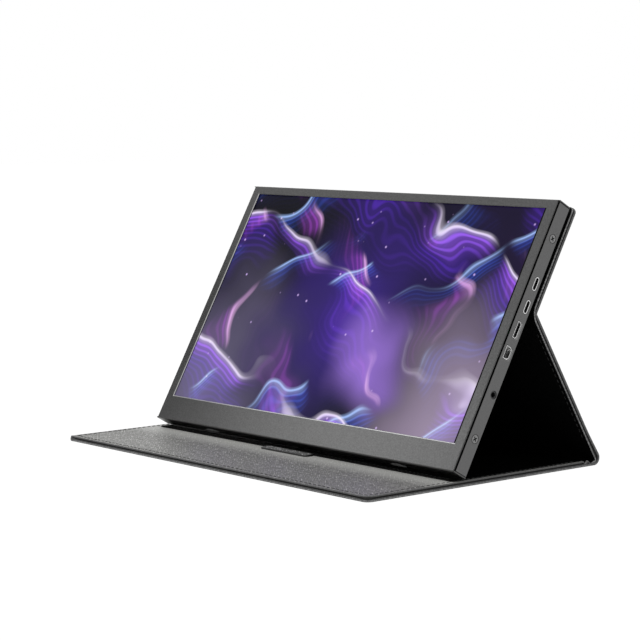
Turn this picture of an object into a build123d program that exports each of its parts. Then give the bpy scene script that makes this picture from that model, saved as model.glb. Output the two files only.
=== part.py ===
from build123d import *
import math
import os

os.makedirs("parts", exist_ok=True)

# A portable monitor standing on its folding leather cover, in millimetres.
# X runs along the screen, +Y points away from the viewer and +Z is up.
# The origin is the centre of the footprint, on the table.

# Screen unit, with its metal edges round the picture
window_w = 294.8          # picture opening
window_h = 166.2
side_edge = 7.6           # metal on the left and on the right of the picture
top_edge = 6.5
chin_h = 18.8             # metal below the picture
unit_t = 11.6             # from the front face to the rear rim
tilt = 60.6               # lean of the screen from the table, degrees

# Bent front sheet
sheet_t = 0.8             # thickness of the sheet and of its top and bottom walls
bend_r = 1.0              # outside radius where the walls turn back
edge_bevel = 0.3          # bevel on the left and right edges of the front face
window_bevel = 0.4        # bevel round the picture opening

# Side plates
plate_t = 1.5
plate_out = 1.1           # a side plate stands this far outside the edge of the front face
plate_groove = 0.9        # dark groove between the front sheet and a side plate
plate_gap = 0.4           # gap to the top and bottom walls
plate_bevel = 0.25
overrun = 1.0             # how far every cutting tool passes the metal

# Side screws, countersunk, with a cross recess
screw_head_r = 2.65
screw_head_h = 1.0
screw_ring = 0.45         # dark sunk ring round a head
screw_ring_d = 0.35
screw_shank_r = 1.15
screw_len = 7.0
screw_low = 25.4          # lower screw above the bottom of the screen
screw_high = 25.0         # upper screw below the top of the screen
screw_d = 7.0             # depth behind the front face
cross_l = 3.4
cross_w = 0.8
cross_depth = 0.6
cross_turn = 45           # turn of the cross recess, degrees
thread_gap = 0.05         # radial room of every screw in its hole

# Rear cover, a flat flange with a raised middle
cover_t = 1.0
cover_gap = 0.1
plateau_h = 2.3
plateau_inset = 8.0
plateau_r = 6.0
vent_l = 14.0             # sound slots in the rear cover
vent_w = 1.4
vent_pitch = 3.2
vent_count = 6

# Cover screws
cover_screw_r = 1.9
cover_screw_h = 0.8
cover_shank_r = 0.9
cover_screw_len = 4.0
cover_screw_in = 4.2      # from the side plates to a screw's axis
cover_screw_v = 12.0      # from the top and bottom of the screen

# Corner posts that take the side screws and the cover screws
post_w = 8.0
post_end = 1.75           # post beyond the head of a side screw
post_front = 4.5          # depth of a post's front face

# Display stack behind the window
gasket_t = 0.6
gasket_w = 2.2
gasket_step = 0.3         # the foam stops this far outside the window
glass_t = 1.2
glass_edge = 2.1          # glass beyond the window on every side
film_t = 0.4
guide_t = 0.6
mirror_t = 0.2
stack_step = 1.0          # each optical sheet is this much smaller than the glass
frame_wall = 0.5
frame_back = 0.4
frame_gap = 0.2
led_h = 0.8
led_short = 14.8          # the lamp strip is this much shorter than the window
led_t = 0.5
led_lens = 2.0            # length of one lamp
led_pitch = 7.0
led_flex_t = 0.1

# Boards
board_t = 0.8
board_w = 58.2
board_over = 11.35        # main board above the middle of the upper socket
board_end_gap = 4.4       # from the right side plate to the main board
board_lift = 0.6          # gap between the display frame and the boards
hole_in = 4.0             # from a board's edge to its screw holes
standoff_r = 2.2
standoff_foot_r = 2.9     # weld foot of a standoff, on the rear cover
standoff_foot_t = 0.5
board_screw_r = 1.7
board_screw_h = 0.45
board_shank_r = 0.9
board_screw_len = 4.0
strip_short = 82.8        # the display's own long board is this much shorter than the window
strip_board_h = 14.0
strip_room = 13.75        # from its top to the main board
chip_big = 14.0
chip_small = 9.0
chip_t = 1.1
coil_size = 5.0
coil_t = 2.2
coil_count = 4
coil_pitch = 8.0
shield_size = 34.0
shield_t = 0.3
shield_h = 2.4

# Sockets in the right side plate, from the lowest up, with their depths behind the front face
socket_gap = 0.1          # dark gap between a metal shell and the plate
usb_sink = 0.1            # how far a shell's rim lies inside the plate's face
plug_sink = 0.5           # the same for the two shells with cut corners
usb_dish = 0.25           # slope round an opening, as wide as it is deep
plug_dish = 0.9           # width of the slope round the two openings with cut corners
plug_dish_t = 0.5
shell_wall = 0.32
usb_wall = 0.5            # wall of the two round-ended shells, with their turned rims
shell_back = 0.6
usb_room = 7.1            # free plate between the two round-ended sockets
usb_d = 7.6
usb_l = 9.3
usb_h = 3.62
usb_depth = 7.4
usb_tongue_l = 6.7
usb_tongue_h = 0.7
hdmi_room = 6.25          # free plate above the wide socket
hdmi_d = 7.3
hdmi_l = 11.2
hdmi_h = 3.3
hdmi_cut = 0.9
hdmi_depth = 7.4
hdmi_tongue_l = 8.6
hdmi_tongue_h = 0.7
dp_room = 6.55            # free plate above the deep socket
dp_d = 6.65
dp_l = 8.5
dp_h = 5.1
dp_cut = 1.3
dp_depth = 4.3
dp_tongue_l = 5.6
dp_tongue_h = 0.8
tongue_short = 1.1        # a tongue ends this far inside the rim
jack_low = 10.65          # jack's axis above the lower edge of the main board
jack_room = 21.25         # free plate above the jack's body
jack_d = 8.1
jack_bore_r = 1.8
jack_bore_l = 11.0
jack_collar_r = 2.75
jack_sink = 0.4
jack_body_l = 12.0
jack_body_w = 6.4
jack_roof = 0.2           # gap to the rear cover

# Loudspeakers
speaker_w = 40.0
speaker_h = 18.0
speaker_t = 4.6
speaker_side = 10.6       # from a side plate
speaker_room = 3.0        # from the top of a loudspeaker to the main board
speaker_r = 2.0
cone_r = 6.5
cone_depth = 0.8
foam_t = 0.5
foam_w = 2.0

# Buttons in the left side plate
button_l = 9.0
button_d = 3.0
button_proud = 0.5
button_gap = 0.15
button_flange = 0.8
button_flange_t = 0.6
button_room = 0.7         # free way behind a button
button_middle_d = 7.3
key_low = 56.0            # lowest button above the bottom of the screen
key_pitch = 14.0
power_pitch = 22.0
switch_size = 3.6
switch_t = 1.2
key_board_t = 0.8
key_board_end = 7.0       # board beyond the outer buttons
key_board_d = 4.6         # width of the board

# Flat cables and leads
ribbon_t = 0.2
ribbon_w = 6.0
ribbon_lift = 0.1
ribbon_in = 12.0          # how far a ribbon runs under the main board
lead_t = 0.5
lead_w = 1.2
lead_in = 13.0            # how far a lead runs over the main board

# Feet on the bottom wall
foot_l = 10.7
foot_w = 4.6
foot_t = 0.6
foot_side = 58.1          # from the side of the screen
foot_d = 8.6

# Leather cover, four panels
cover_over = 6.0          # cover beyond the left side of the screen
cover_panel_t = 3.8       # skin, board and lining together
skin_t = 0.9
rim_h = 1.9               # height of the turned-up edge of the skin
rim_w = 0.9
lining_t = 0.9
lining_in = 0.3           # the lining stops this far inside the skin
board_room = 0.1
corner_r = 4.0
edge_r = 0.5
flap_over = 2.6           # the flap is this much longer than the screen is high
spine_over = 1.3          # the spine is this much wider than the screen is thick
upper_l = 76.8            # middle fold to the top edge of the upper panel
upper_over = 2.5          # the upper panel ends this far above the top of the screen
flat_edge = 3.0           # bottom of the screen to the rear fold, when it all lies flat
screen_gap = 3.2          # rear rim of the screen to the upper panel

# Folds
flap_setback = 1.3        # end of the flap from its fold line
flap_roll_r = 0.45
rear_setback = 3.6        # boards and lining of the rear panel from the rear fold
rear_skin_setback = 2.0
middle_setback = 1.5
middle_roll_r = 1.2
crease_web = 0.9

# Soft lining of the spine, with its two wrinkles
wrinkle_base = 1.9        # height of the valleys above the table
wrinkle_tops = (3.3, 3.1)
wrinkle_start = 0.8       # from the flap fold
wrinkle_end = 0.4         # clear of the rear fold's roll

# Leather strip and tab under the bottom edge of the screen
strip_t = 0.8
strip_in = 6.0            # from the ends of the strip to the sides of the flap
strip_front = 9.1         # in front of the screen's rear bottom edge
strip_back = 6.5
rest_gap = 0.4            # the screen's edge above the strip
tab_w = 48.0
tab_l = 8.0
tab_t = 1.5
tab_r = 2.0

# Magnets in the flap and the pad that holds the screen
magnet_l = 30.0
magnet_w = 6.0
magnet_t = 1.0
magnet_in = 14.0          # from the front edge of the flap
magnet_side = 59.1        # from the side of the flap to the middle of a magnet
magnet_room = 0.1
pad_side = 16.0           # from the pad to the sides of the screen
pad_low = 8.0             # from the middle fold to the pad
pad_high = 9.0            # from the top of the screen to the pad


def up_frame(y, z, angle):
    """Frame whose Y climbs at an angle from the table and whose Z is the inner normal."""
    a = math.radians(angle)
    normal = (0, -math.sin(a), math.cos(a))
    return Plane(origin=(0, y, z), x_dir=(1, 0, 0), z_dir=normal).location


def step(point, angle, along=0.0, inward=0.0):
    """Point of the side view moved along a panel and along its inner normal."""
    a = math.radians(angle)
    y = point[0] + along * math.cos(a) - inward * math.sin(a)
    z = point[1] + along * math.sin(a) + inward * math.cos(a)
    return (y, z)


# Overall sizes of the screen, and lengths of the cover's panels
face_half = window_w / 2 + side_edge
unit_h = chin_h + window_h + top_edge
half_w = face_half + plate_out
cover_half = half_w + cover_over / 2
half_t = cover_panel_t / 2
flap_l = unit_h + flap_over
spine_l = unit_t + spine_over
fold_v = unit_h + upper_over - upper_l
rear_l = fold_v + flat_edge

# Lean of the rear panel, at which the screen's bottom edge just clears the strip
rest_z = cover_panel_t + strip_t + rest_gap
fold_rise = rest_z - half_t + fold_v * math.sin(math.radians(tilt))
fold_rise = fold_rise - (half_t + screen_gap) * math.cos(math.radians(tilt))
rear_lean = 180 - math.degrees(math.asin(fold_rise / rear_l))

# Places in the side view, as (y, z)
foot_depth = flap_l + spine_l + half_t
front_y = -foot_depth / 2
flap_fold = (front_y + flap_l, 0)
rear_fold = (flap_fold[0] + spine_l, half_t)
middle_fold = step(rear_fold, rear_lean, along=rear_l)
rear_start = step(rear_fold, rear_lean, inward=-half_t)
upper_start = step(middle_fold, tilt, inward=-half_t)
pad_line = step(middle_fold, tilt, inward=half_t + screen_gap)
rest_point = step(pad_line, tilt, along=-fold_v)
face_point = step(rest_point, tilt, inward=unit_t)

flap_frame = up_frame(front_y, 0, 0)
rear_frame = up_frame(rear_start[0], rear_start[1], rear_lean)
upper_frame = up_frame(upper_start[0], upper_start[1], tilt)
screen_frame = Pos(cover_over / 2, 0, 0) * up_frame(face_point[0], face_point[1], tilt)

# Depths behind the front face
glass_d = sheet_t + gasket_t
film_d = glass_d + glass_t
guide_d = film_d + film_t
mirror_d = guide_d + guide_t
frame_d = mirror_d + mirror_t
frame_end_d = frame_d + frame_back
board_d = frame_end_d + board_lift
board_end_d = board_d + board_t
cover_d = unit_t - cover_t
pocket_d = unit_t + plateau_h - cover_t
plateau_d = unit_t + plateau_h
panel_d = unit_t + screen_gap

# Widths and heights on the screen
plate_in = half_w - plate_t
window_v0 = chin_h
window_v1 = chin_h + window_h
glass_half = window_w / 2 + glass_edge
glass_v0 = window_v0 - glass_edge
glass_v1 = window_v1 + glass_edge
led_w = window_w - led_short
strip_board_w = window_w - strip_short
speaker_x = plate_in - speaker_side - speaker_w / 2
foot_x = half_w - foot_side
magnet_x = cover_half - magnet_side
board_x1 = plate_in - board_end_gap
board_x0 = board_x1 - board_w
screw_v = (screw_low, unit_h - screw_high)
post_l = max(screw_low, screw_high) + screw_head_r + post_end

# Heights of the sockets and of the buttons up the screen
dp_rise = (jack_body_w + dp_l) / 2 + jack_room
hdmi_rise = (dp_l + hdmi_l) / 2 + dp_room
usb_rise = (hdmi_l + usb_l) / 2 + hdmi_room
usb_pitch = usb_l + usb_room
board_h = jack_low + dp_rise + hdmi_rise + usb_rise + usb_pitch + board_over
board_v0 = (unit_h - board_h) / 2
board_v1 = board_v0 + board_h
strip_board_v = board_v0 - strip_room - strip_board_h
speaker_v = board_v0 - speaker_room - speaker_h
jack_v = board_v0 + jack_low
dp_v = jack_v + dp_rise
hdmi_v = dp_v + hdmi_rise
usb_v = (hdmi_v + usb_rise + usb_pitch, hdmi_v + usb_rise)
minus_v = key_low
plus_v = minus_v + key_pitch
power_v = plus_v + power_pitch


def bar(x0, x1, y0, y1, z0, z1):
    """Block between two corners."""
    middle = Pos((x0 + x1) / 2, (y0 + y1) / 2, (z0 + z1) / 2)
    return middle * Box(x1 - x0, y1 - y0, z1 - z0)


def slab(x0, x1, v0, v1, d0, d1):
    """Block of the screen unit, with depths counted back from the front face."""
    return bar(x0, x1, v0, v1, -d1, -d0)


def rounded_slab(x0, x1, v0, v1, d0, d1, r):
    """Block of the screen unit with rounded corners in the front view."""
    outline = RectangleRounded(x1 - x0, v1 - v0, r)
    return Pos((x0 + x1) / 2, (v0 + v1) / 2, -d1) * extrude(outline, amount=d1 - d0)


def x_rod(x0, x1, v, d, r):
    """Round rod along X at a place on the side of the screen unit."""
    return Pos((x0 + x1) / 2, v, -d) * Rot(0, 90, 0) * Cylinder(r, x1 - x0)


def d_rod(x, v, d0, d1, r):
    """Round rod square to the screen."""
    return Pos(x, v, -(d0 + d1) / 2) * Cylinder(r, d1 - d0)


def side_shape(outline, x0, x1, v, d):
    """Outline, long way up the screen, drawn on the side plane and pulled along X."""
    return extrude(Plane.YZ.offset(x0) * Pos(v, -d) * outline, amount=x1 - x0)


def slot_outline(length, height):
    """Socket outline with round ends."""
    return SlotOverall(length, height)


def cut_outline(length, height, cut):
    """Socket outline with two cut corners at the back."""
    rectangle = Rectangle(length, height)
    return chamfer(rectangle.vertices().group_by(Axis.Y)[0], cut)


def hdmi_outline(length, height):
    """Outline of the wide socket."""
    return cut_outline(length, height, hdmi_cut)


def dp_outline(length, height):
    """Outline of the deep socket."""
    return cut_outline(length, height, dp_cut)


def countersunk(length, head_r, head_h, shank_r):
    """Countersunk body along +Z, with its head face on the origin and its tip below."""
    head = Pos(0, 0, -head_h / 2) * Cone(shank_r, head_r, head_h)
    shank = Pos(0, 0, -length / 2) * Cylinder(shank_r, length)
    return head + shank


def cross_cut():
    """Cross recess of a screw head that faces +Z."""
    one = Box(cross_l, cross_w, cross_depth * 2)
    other = Box(cross_w, cross_l, cross_depth * 2)
    return Rot(0, 0, cross_turn) * (one + other)


def side_screw_places():
    """One place for each side screw, turned so that the head faces outwards."""
    places = []
    for side in (-1, 1):
        for v in screw_v:
            places.append(Pos(side * half_w, v, -screw_d) * Rot(0, side * 90, 0))
    return places


def cover_screw_places():
    """One place for each rear cover screw, with its head facing backwards."""
    places = []
    for side in (-1, 1):
        for v in (cover_screw_v, unit_h - cover_screw_v):
            x = side * (plate_in - cover_screw_in)
            places.append(Pos(x, v, -unit_t) * Rot(0, 180, 0))
    return places


def board_holes():
    """Centres of the main board's four screws."""
    centres = []
    for x in (board_x0 + hole_in, board_x1 - hole_in - usb_depth):
        for v in (board_v0 + hole_in, board_v1 - hole_in):
            centres.append((x, v))
    return centres


def front_bezel():
    """Bent sheet: the face with its window, and the top and bottom walls."""
    outer = slab(-half_w, half_w, 0, unit_h, 0, unit_t)
    outer = fillet(outer.edges().filter_by(Axis.X).group_by(Axis.Z)[-1], bend_r)
    inner = slab(-half_w - overrun, half_w + overrun, sheet_t, unit_h - sheet_t,
                 sheet_t, unit_t + overrun)
    inner = fillet(inner.edges().filter_by(Axis.X).group_by(Axis.Z)[-1], bend_r - sheet_t)
    window = slab(-window_w / 2, window_w / 2, window_v0, window_v1, -overrun, sheet_t + overrun)
    body = outer - inner - window
    front = body.faces().sort_by(Axis.Z)[-1]
    body = chamfer(front.inner_wires()[0].edges(), window_bevel)
    for side in (-1, 1):
        edge = side * face_half
        x0, x1 = sorted((edge, side * (half_w + overrun)))
        body = body - slab(x0, x1, sheet_t, unit_h - sheet_t, -overrun, sheet_t + overrun)
        wedge = Polyline((edge - side * edge_bevel, 0), (edge, 0), (edge, -edge_bevel), close=True)
        face = Plane.XZ.offset(-sheet_t) * make_face(wedge)
        body = body - extrude(face, amount=-(unit_h - sheet_t * 2))
    return body


def side_blank(side):
    """Flat side plate with its bevelled outer face and its two screw holes."""
    x0, x1 = sorted((side * plate_in, side * half_w))
    v0 = sheet_t + plate_gap
    plate = slab(x0, x1, v0, unit_h - v0, sheet_t + plate_groove, unit_t)
    outer = plate.faces().sort_by(Axis.X)[-1 if side > 0 else 0]
    plate = chamfer(outer.edges(), plate_bevel)
    for v in screw_v:
        place = Pos(side * half_w, v, -screw_d) * Rot(0, side * 90, 0)
        hole = countersunk(plate_t + overrun, screw_head_r + thread_gap,
                           screw_head_h, screw_shank_r + thread_gap)
        ring = Cylinder(screw_head_r + screw_ring, screw_ring_d * 2)
        plate = plate - place * (hole + ring)
    return plate


def sloped_hole(outline, length, height, width, depth, v, d):
    """Cutting tool for a socket's opening, with a slope up to the right plate's face."""
    room = socket_gap * 2
    hole = outline(length + room, height + room)
    tool = side_shape(hole, plate_in - overrun, half_w + overrun, v, d)
    wide = outline(length + room + width * 2, height + room + width * 2)
    ends = [Plane.YZ.offset(x) * Pos(v, -d) * shape
            for x, shape in ((half_w - depth, hole), (half_w, wide))]
    return tool + loft(ends, ruled=True)


def side_plate_right():
    """Right side plate with the openings for the sockets."""
    plate = side_blank(1)
    for v in usb_v:
        plate = plate - sloped_hole(slot_outline, usb_l, usb_h, usb_dish, usb_dish, v, usb_d)
    plate = plate - sloped_hole(hdmi_outline, hdmi_l, hdmi_h, plug_dish, plug_dish_t,
                                hdmi_v, hdmi_d)
    plate = plate - sloped_hole(dp_outline, dp_l, dp_h, plug_dish, plug_dish_t, dp_v, dp_d)
    hole = x_rod(plate_in - overrun, half_w + overrun, jack_v, jack_d, jack_collar_r + thread_gap)
    return plate - hole


def button_places():
    """Names and heights of the three buttons."""
    return (("power_button", power_v), ("plus_button", plus_v), ("minus_button", minus_v))


def side_plate_left():
    """Left side plate with the openings for the buttons."""
    plate = side_blank(-1)
    room = button_gap * 2
    for name, v in button_places():
        hole = slot_outline(button_l + room, button_d + room)
        plate = plate - side_shape(hole, -half_w - overrun, -plate_in + overrun,
                                   v, button_middle_d)
    return plate


def rear_cover():
    """Rear cover: flange, raised middle and sound slots."""
    x1 = plate_in - cover_gap
    v0 = sheet_t + cover_gap
    v1 = unit_h - v0
    flange = slab(-x1, x1, v0, v1, cover_d, unit_t)
    rise = rounded_slab(-x1 + plateau_inset, x1 - plateau_inset, v0 + plateau_inset,
                        v1 - plateau_inset, cover_d, plateau_d, plateau_r)
    rise = chamfer(rise.faces().sort_by(Axis.Z)[0].edges(), cover_t / 2)
    inset = plateau_inset + cover_t
    pocket = rounded_slab(-x1 + inset, x1 - inset, v0 + inset, v1 - inset,
                          cover_d - overrun, pocket_d, plateau_r - cover_t)
    body = flange + rise - pocket
    for side in (-1, 1):
        for i in range(vent_count):
            v = speaker_v + speaker_h / 2 + (i - (vent_count - 1) / 2) * vent_pitch
            vent = SlotOverall(vent_l, vent_w)
            tool = extrude(vent, amount=plateau_h + overrun * 2)
            body = body - Pos(side * speaker_x, v, -plateau_d - overrun) * tool
    for place in cover_screw_places():
        hole = countersunk(cover_t + overrun, cover_screw_r + thread_gap,
                           cover_screw_h, cover_shank_r + thread_gap)
        body = body - place * hole
    return body


def side_screws():
    """Four countersunk screws that hold the side plates."""
    body = countersunk(screw_len, screw_head_r, screw_head_h, screw_shank_r) - cross_cut()
    return [place * body for place in side_screw_places()]


def cover_screws():
    """Four small countersunk screws that hold the rear cover."""
    body = countersunk(cover_screw_len, cover_screw_r, cover_screw_h, cover_shank_r)
    shrink = cover_screw_r / screw_head_r
    body = body - scale(cross_cut(), by=shrink)
    return [place * body for place in cover_screw_places()]


def board_standoffs():
    """Four threaded standoffs, welded to the rear cover by their feet, that carry the main board."""
    posts = []
    for x, v in board_holes():
        post = d_rod(x, v, board_end_d, pocket_d, standoff_r)
        foot = d_rod(x, v, pocket_d - standoff_foot_t, pocket_d, standoff_foot_r)
        thread = d_rod(x, v, board_end_d - overrun, board_end_d + board_screw_len,
                       board_shank_r + thread_gap)
        posts.append(post + foot - thread)
    return posts


def corner_posts():
    """Four metal posts in the corners, drilled for both sets of screws."""
    posts = []
    for side in (-1, 1):
        x0, x1 = sorted((side * plate_in, side * (plate_in - post_w)))
        for v0 in (sheet_t, unit_h - sheet_t - post_l):
            posts.append(slab(x0, x1, v0, v0 + post_l, post_front, cover_d))
    drilled = []
    for post in posts:
        for place in side_screw_places():
            post = post - place * Pos(0, 0, -screw_len / 2) * Cylinder(
                screw_shank_r + thread_gap, screw_len + thread_gap * 2)
        for place in cover_screw_places():
            post = post - place * Pos(0, 0, -cover_screw_len / 2) * Cylinder(
                cover_shank_r + thread_gap, cover_screw_len + thread_gap * 2)
        drilled.append(post)
    return drilled


def window_gasket():
    """Black foam frame between the front sheet and the glass."""
    half = window_w / 2 + gasket_step
    v0 = window_v0 - gasket_step
    v1 = window_v1 + gasket_step
    outer = slab(-half - gasket_w, half + gasket_w, v0 - gasket_w, v1 + gasket_w,
                 sheet_t, glass_d)
    inner = slab(-half, half, v0, v1, sheet_t - overrun, glass_d + overrun)
    return outer - inner


def stack_sheet(d0, thickness, smaller):
    """One flat sheet of the display stack."""
    return slab(-glass_half + smaller, glass_half - smaller, glass_v0 + smaller,
                glass_v1 - smaller, d0, d0 + thickness)


def lcd_glass():
    """The display cell."""
    return stack_sheet(glass_d, glass_t, 0)


def diffuser_films():
    """Diffusing films behind the cell."""
    return stack_sheet(film_d, film_t, stack_step)


def light_guide():
    """Clear plate that spreads the light, above the lamps."""
    return stack_sheet(guide_d, guide_t, stack_step * 2)


def reflector_sheet():
    """White sheet behind the light guide."""
    return stack_sheet(mirror_d, mirror_t, stack_step)


def led_strip():
    """Lamps on a thin strip along the lower edge of the light guide."""
    v0 = glass_v0 + stack_step / 2
    strip = slab(-led_w / 2, led_w / 2, v0, v0 + led_flex_t, guide_d, guide_d + led_t)
    count = int(led_w / led_pitch)
    for i in range(count):
        x = (i - (count - 1) / 2) * led_pitch
        lamp = slab(x - led_lens / 2, x + led_lens / 2, v0, v0 + led_h, guide_d, guide_d + led_t)
        strip = strip + lamp
    return strip


def panel_frame():
    """Shallow metal tray that holds the display stack."""
    out = frame_gap + frame_wall
    outer = slab(-glass_half - out, glass_half + out, glass_v0 - out, glass_v1 + out,
                 glass_d, frame_end_d)
    inner = slab(-glass_half - frame_gap, glass_half + frame_gap, glass_v0 - frame_gap,
                 glass_v1 + frame_gap, glass_d - overrun, frame_d)
    return outer - inner


def panel_board():
    """Long board of the display, behind the lower edge of the tray."""
    return slab(-strip_board_w / 2, strip_board_w / 2, strip_board_v,
                strip_board_v + strip_board_h, board_d, board_end_d)


def main_board():
    """Main board, with four screw holes."""
    board = slab(board_x0, board_x1, board_v0, board_v1, board_d, board_end_d)
    for x, v in board_holes():
        board = board - d_rod(x, v, board_d - overrun, board_end_d + overrun,
                              board_shank_r + thread_gap * 2)
    return board


def board_middle():
    """Centre of the main board's free area."""
    return ((board_x0 + board_x1 - usb_depth) / 2, (board_v0 + board_v1) / 2)


def board_chips():
    """Chips and coils on the back of the main board."""
    x, v = board_middle()
    high = v + (shield_size + chip_small) / 2 + hole_in
    low = v - (shield_size + coil_size) / 2 - hole_in
    half = chip_big / 2
    chips = [slab(x - half, x + half, v - half, v + half, board_end_d, board_end_d + chip_t)]
    half = chip_small / 2
    for side in (-1, 1):
        place = x + side * chip_small
        chips.append(slab(place - half, place + half, high - half, high + half,
                          board_end_d, board_end_d + chip_t))
    half = coil_size / 2
    for i in range(coil_count):
        place = x + (i - (coil_count - 1) / 2) * coil_pitch
        chips.append(slab(place - half, place + half, low - half, low + half,
                          board_end_d, board_end_d + coil_t))
    return chips


def board_shield():
    """Thin metal can over the large chip."""
    x, v = board_middle()
    half = shield_size / 2
    inner = half - shield_t
    can = slab(x - half, x + half, v - half, v + half, board_end_d, board_end_d + shield_h)
    hollow = slab(x - inner, x + inner, v - inner, v + inner,
                  board_end_d - overrun, board_end_d + shield_h - shield_t)
    return can - hollow


def board_screws():
    """Four screws that hold the main board on the standoffs."""
    screws = []
    for x, v in board_holes():
        head = d_rod(x, v, board_d - board_screw_h, board_d, board_screw_r)
        screws.append(head + d_rod(x, v, board_d, board_d + board_screw_len, board_shank_r))
    return screws


def socket_shell(outline, length, height, wall, sink, v, d, depth):
    """Metal shell of a socket: an outline pulled back from the plate, open outwards."""
    x1 = half_w - sink
    body = side_shape(outline(length, height), x1 - depth, x1, v, d)
    hollow = outline(length - wall * 2, height - wall * 2)
    return body - side_shape(hollow, x1 - depth + shell_back, x1 + overrun, v, d)


def usb_c_port(v):
    """One round-ended socket shell."""
    return socket_shell(slot_outline, usb_l, usb_h, usb_wall, usb_sink, v, usb_d, usb_depth)


def mini_hdmi_port():
    """Wide socket shell with two cut corners."""
    return socket_shell(hdmi_outline, hdmi_l, hdmi_h, shell_wall, plug_sink,
                        hdmi_v, hdmi_d, hdmi_depth)


def mini_dp_port():
    """Deep socket shell with two cut corners."""
    return socket_shell(dp_outline, dp_l, dp_h, shell_wall, plug_sink, dp_v, dp_d, dp_depth)


def port_tongues():
    """Contact tongues inside the four shells."""
    tongues = []
    sizes = [(v, usb_d, usb_tongue_l, usb_tongue_h, usb_depth, usb_sink) for v in usb_v]
    sizes.append((hdmi_v, hdmi_d, hdmi_tongue_l, hdmi_tongue_h, hdmi_depth, plug_sink))
    sizes.append((dp_v, dp_d, dp_tongue_l, dp_tongue_h, dp_depth, plug_sink))
    for v, d, length, height, depth, sink in sizes:
        rim = half_w - sink
        tongues.append(slab(rim - depth + shell_back, rim - tongue_short, v - length / 2,
                            v + length / 2, d - height / 2, d + height / 2))
    return tongues


def audio_jack():
    """Jack socket: a body on the board with a round collar in the side plate."""
    body = slab(plate_in - jack_body_l, plate_in, jack_v - jack_body_w / 2,
                jack_v + jack_body_w / 2, board_end_d, cover_d - jack_roof)
    face = half_w - jack_sink
    collar = x_rod(plate_in, face, jack_v, jack_d, jack_collar_r)
    bore = x_rod(face - jack_bore_l, face + overrun, jack_v, jack_d, jack_bore_r)
    return body + collar - bore


def speaker(side):
    """Flat loudspeaker box with a sunk cone that faces the rear cover."""
    x0 = side * speaker_x - speaker_w / 2
    back = pocket_d - foam_t
    box = rounded_slab(x0, x0 + speaker_w, speaker_v, speaker_v + speaker_h,
                       back - speaker_t, back, speaker_r)
    cone = d_rod(side * speaker_x, speaker_v + speaker_h / 2, back - cone_depth,
                 back + overrun, cone_r)
    return box - cone


def speaker_gaskets():
    """Foam rings between the loudspeakers and the rear cover."""
    rings = []
    for side in (-1, 1):
        x0 = side * speaker_x - speaker_w / 2
        x1 = x0 + speaker_w
        v1 = speaker_v + speaker_h
        ring = rounded_slab(x0, x1, speaker_v, v1, pocket_d - foam_t, pocket_d, speaker_r)
        rings.append(ring - slab(x0 + foam_w, x1 - foam_w, speaker_v + foam_w, v1 - foam_w,
                                 pocket_d - foam_t - overrun, pocket_d + overrun))
    return rings


def push_button(v):
    """Round-ended button cap with a flange behind the left side plate."""
    outer = -half_w - button_proud
    cap = side_shape(slot_outline(button_l, button_d), outer, -plate_in, v, button_middle_d)
    flange_l = button_l + button_flange * 2
    flange_d = button_d + button_flange * 2
    flange = side_shape(slot_outline(flange_l, flange_d), -plate_in,
                        -plate_in + button_flange_t, v, button_middle_d)
    return cap + flange


def switch_face():
    """X of the faces of the key switches, past the buttons' free way."""
    return -plate_in + button_flange_t + button_room


def key_switches():
    """Small switches on the key board, one behind each button."""
    x0 = switch_face()
    half = switch_size / 2
    return [slab(x0, x0 + switch_t, v - half, v + half, button_middle_d - half,
                 button_middle_d + half) for name, v in button_places()]


def key_board():
    """Upright board behind the buttons, standing on the rear cover's flange."""
    x0 = switch_face() + switch_t
    return slab(x0, x0 + key_board_t, minus_v - key_board_end, power_v + key_board_end,
                cover_d - key_board_d - ribbon_lift, cover_d - ribbon_lift)


def display_cable():
    """Flat cable from the display's board to the main board."""
    x1 = strip_board_w / 2
    d0 = frame_end_d + ribbon_lift
    return slab(x1 - ribbon_w, x1, strip_board_v + strip_board_h, board_v0 + ribbon_in,
                d0, d0 + ribbon_t)


def key_cable():
    """Flat cable from the key board to the main board."""
    x0 = switch_face() + switch_t + key_board_t
    v = (plus_v + power_v) / 2
    d0 = frame_end_d + ribbon_lift
    low = slab(x0, board_x0 + ribbon_in, v - ribbon_w / 2, v + ribbon_w / 2, d0, d0 + ribbon_t)
    riser = slab(x0, x0 + ribbon_t, v - ribbon_w / 2, v + ribbon_w / 2, d0, button_middle_d)
    return low + riser


def speaker_leads():
    """Leads from the two loudspeakers, over the back of the main board."""
    d0 = board_end_d
    d1 = d0 + lead_t
    speaker_d = pocket_d - foam_t - speaker_t
    v1 = speaker_v + speaker_h
    left_x = -speaker_x + speaker_w / 2
    end_x = board_x0 + hole_in + standoff_r + lead_w * 2
    run = slab(left_x - lead_w, end_x, v1, v1 + lead_w, d0, d1)
    run = run + slab(left_x - lead_w, left_x, v1, v1 + lead_w, d0, speaker_d + lead_w)
    run = run + slab(end_x - lead_w, end_x, v1, board_v0 + lead_in, d0, d1)
    short = slab(speaker_x, speaker_x + lead_w, v1, board_v0 + lead_in, d0, d1)
    short = short + slab(speaker_x, speaker_x + lead_w, v1, v1 + lead_w, d0, speaker_d + lead_w)
    return [run, short]


def bottom_feet():
    """Two soft feet under the bottom wall."""
    feet = []
    for side in (-1, 1):
        x = side * foot_x
        feet.append(slab(x - foot_l / 2, x + foot_l / 2, -foot_t, 0,
                         foot_d - foot_w / 2, foot_d + foot_w / 2))
    return feet


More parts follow.
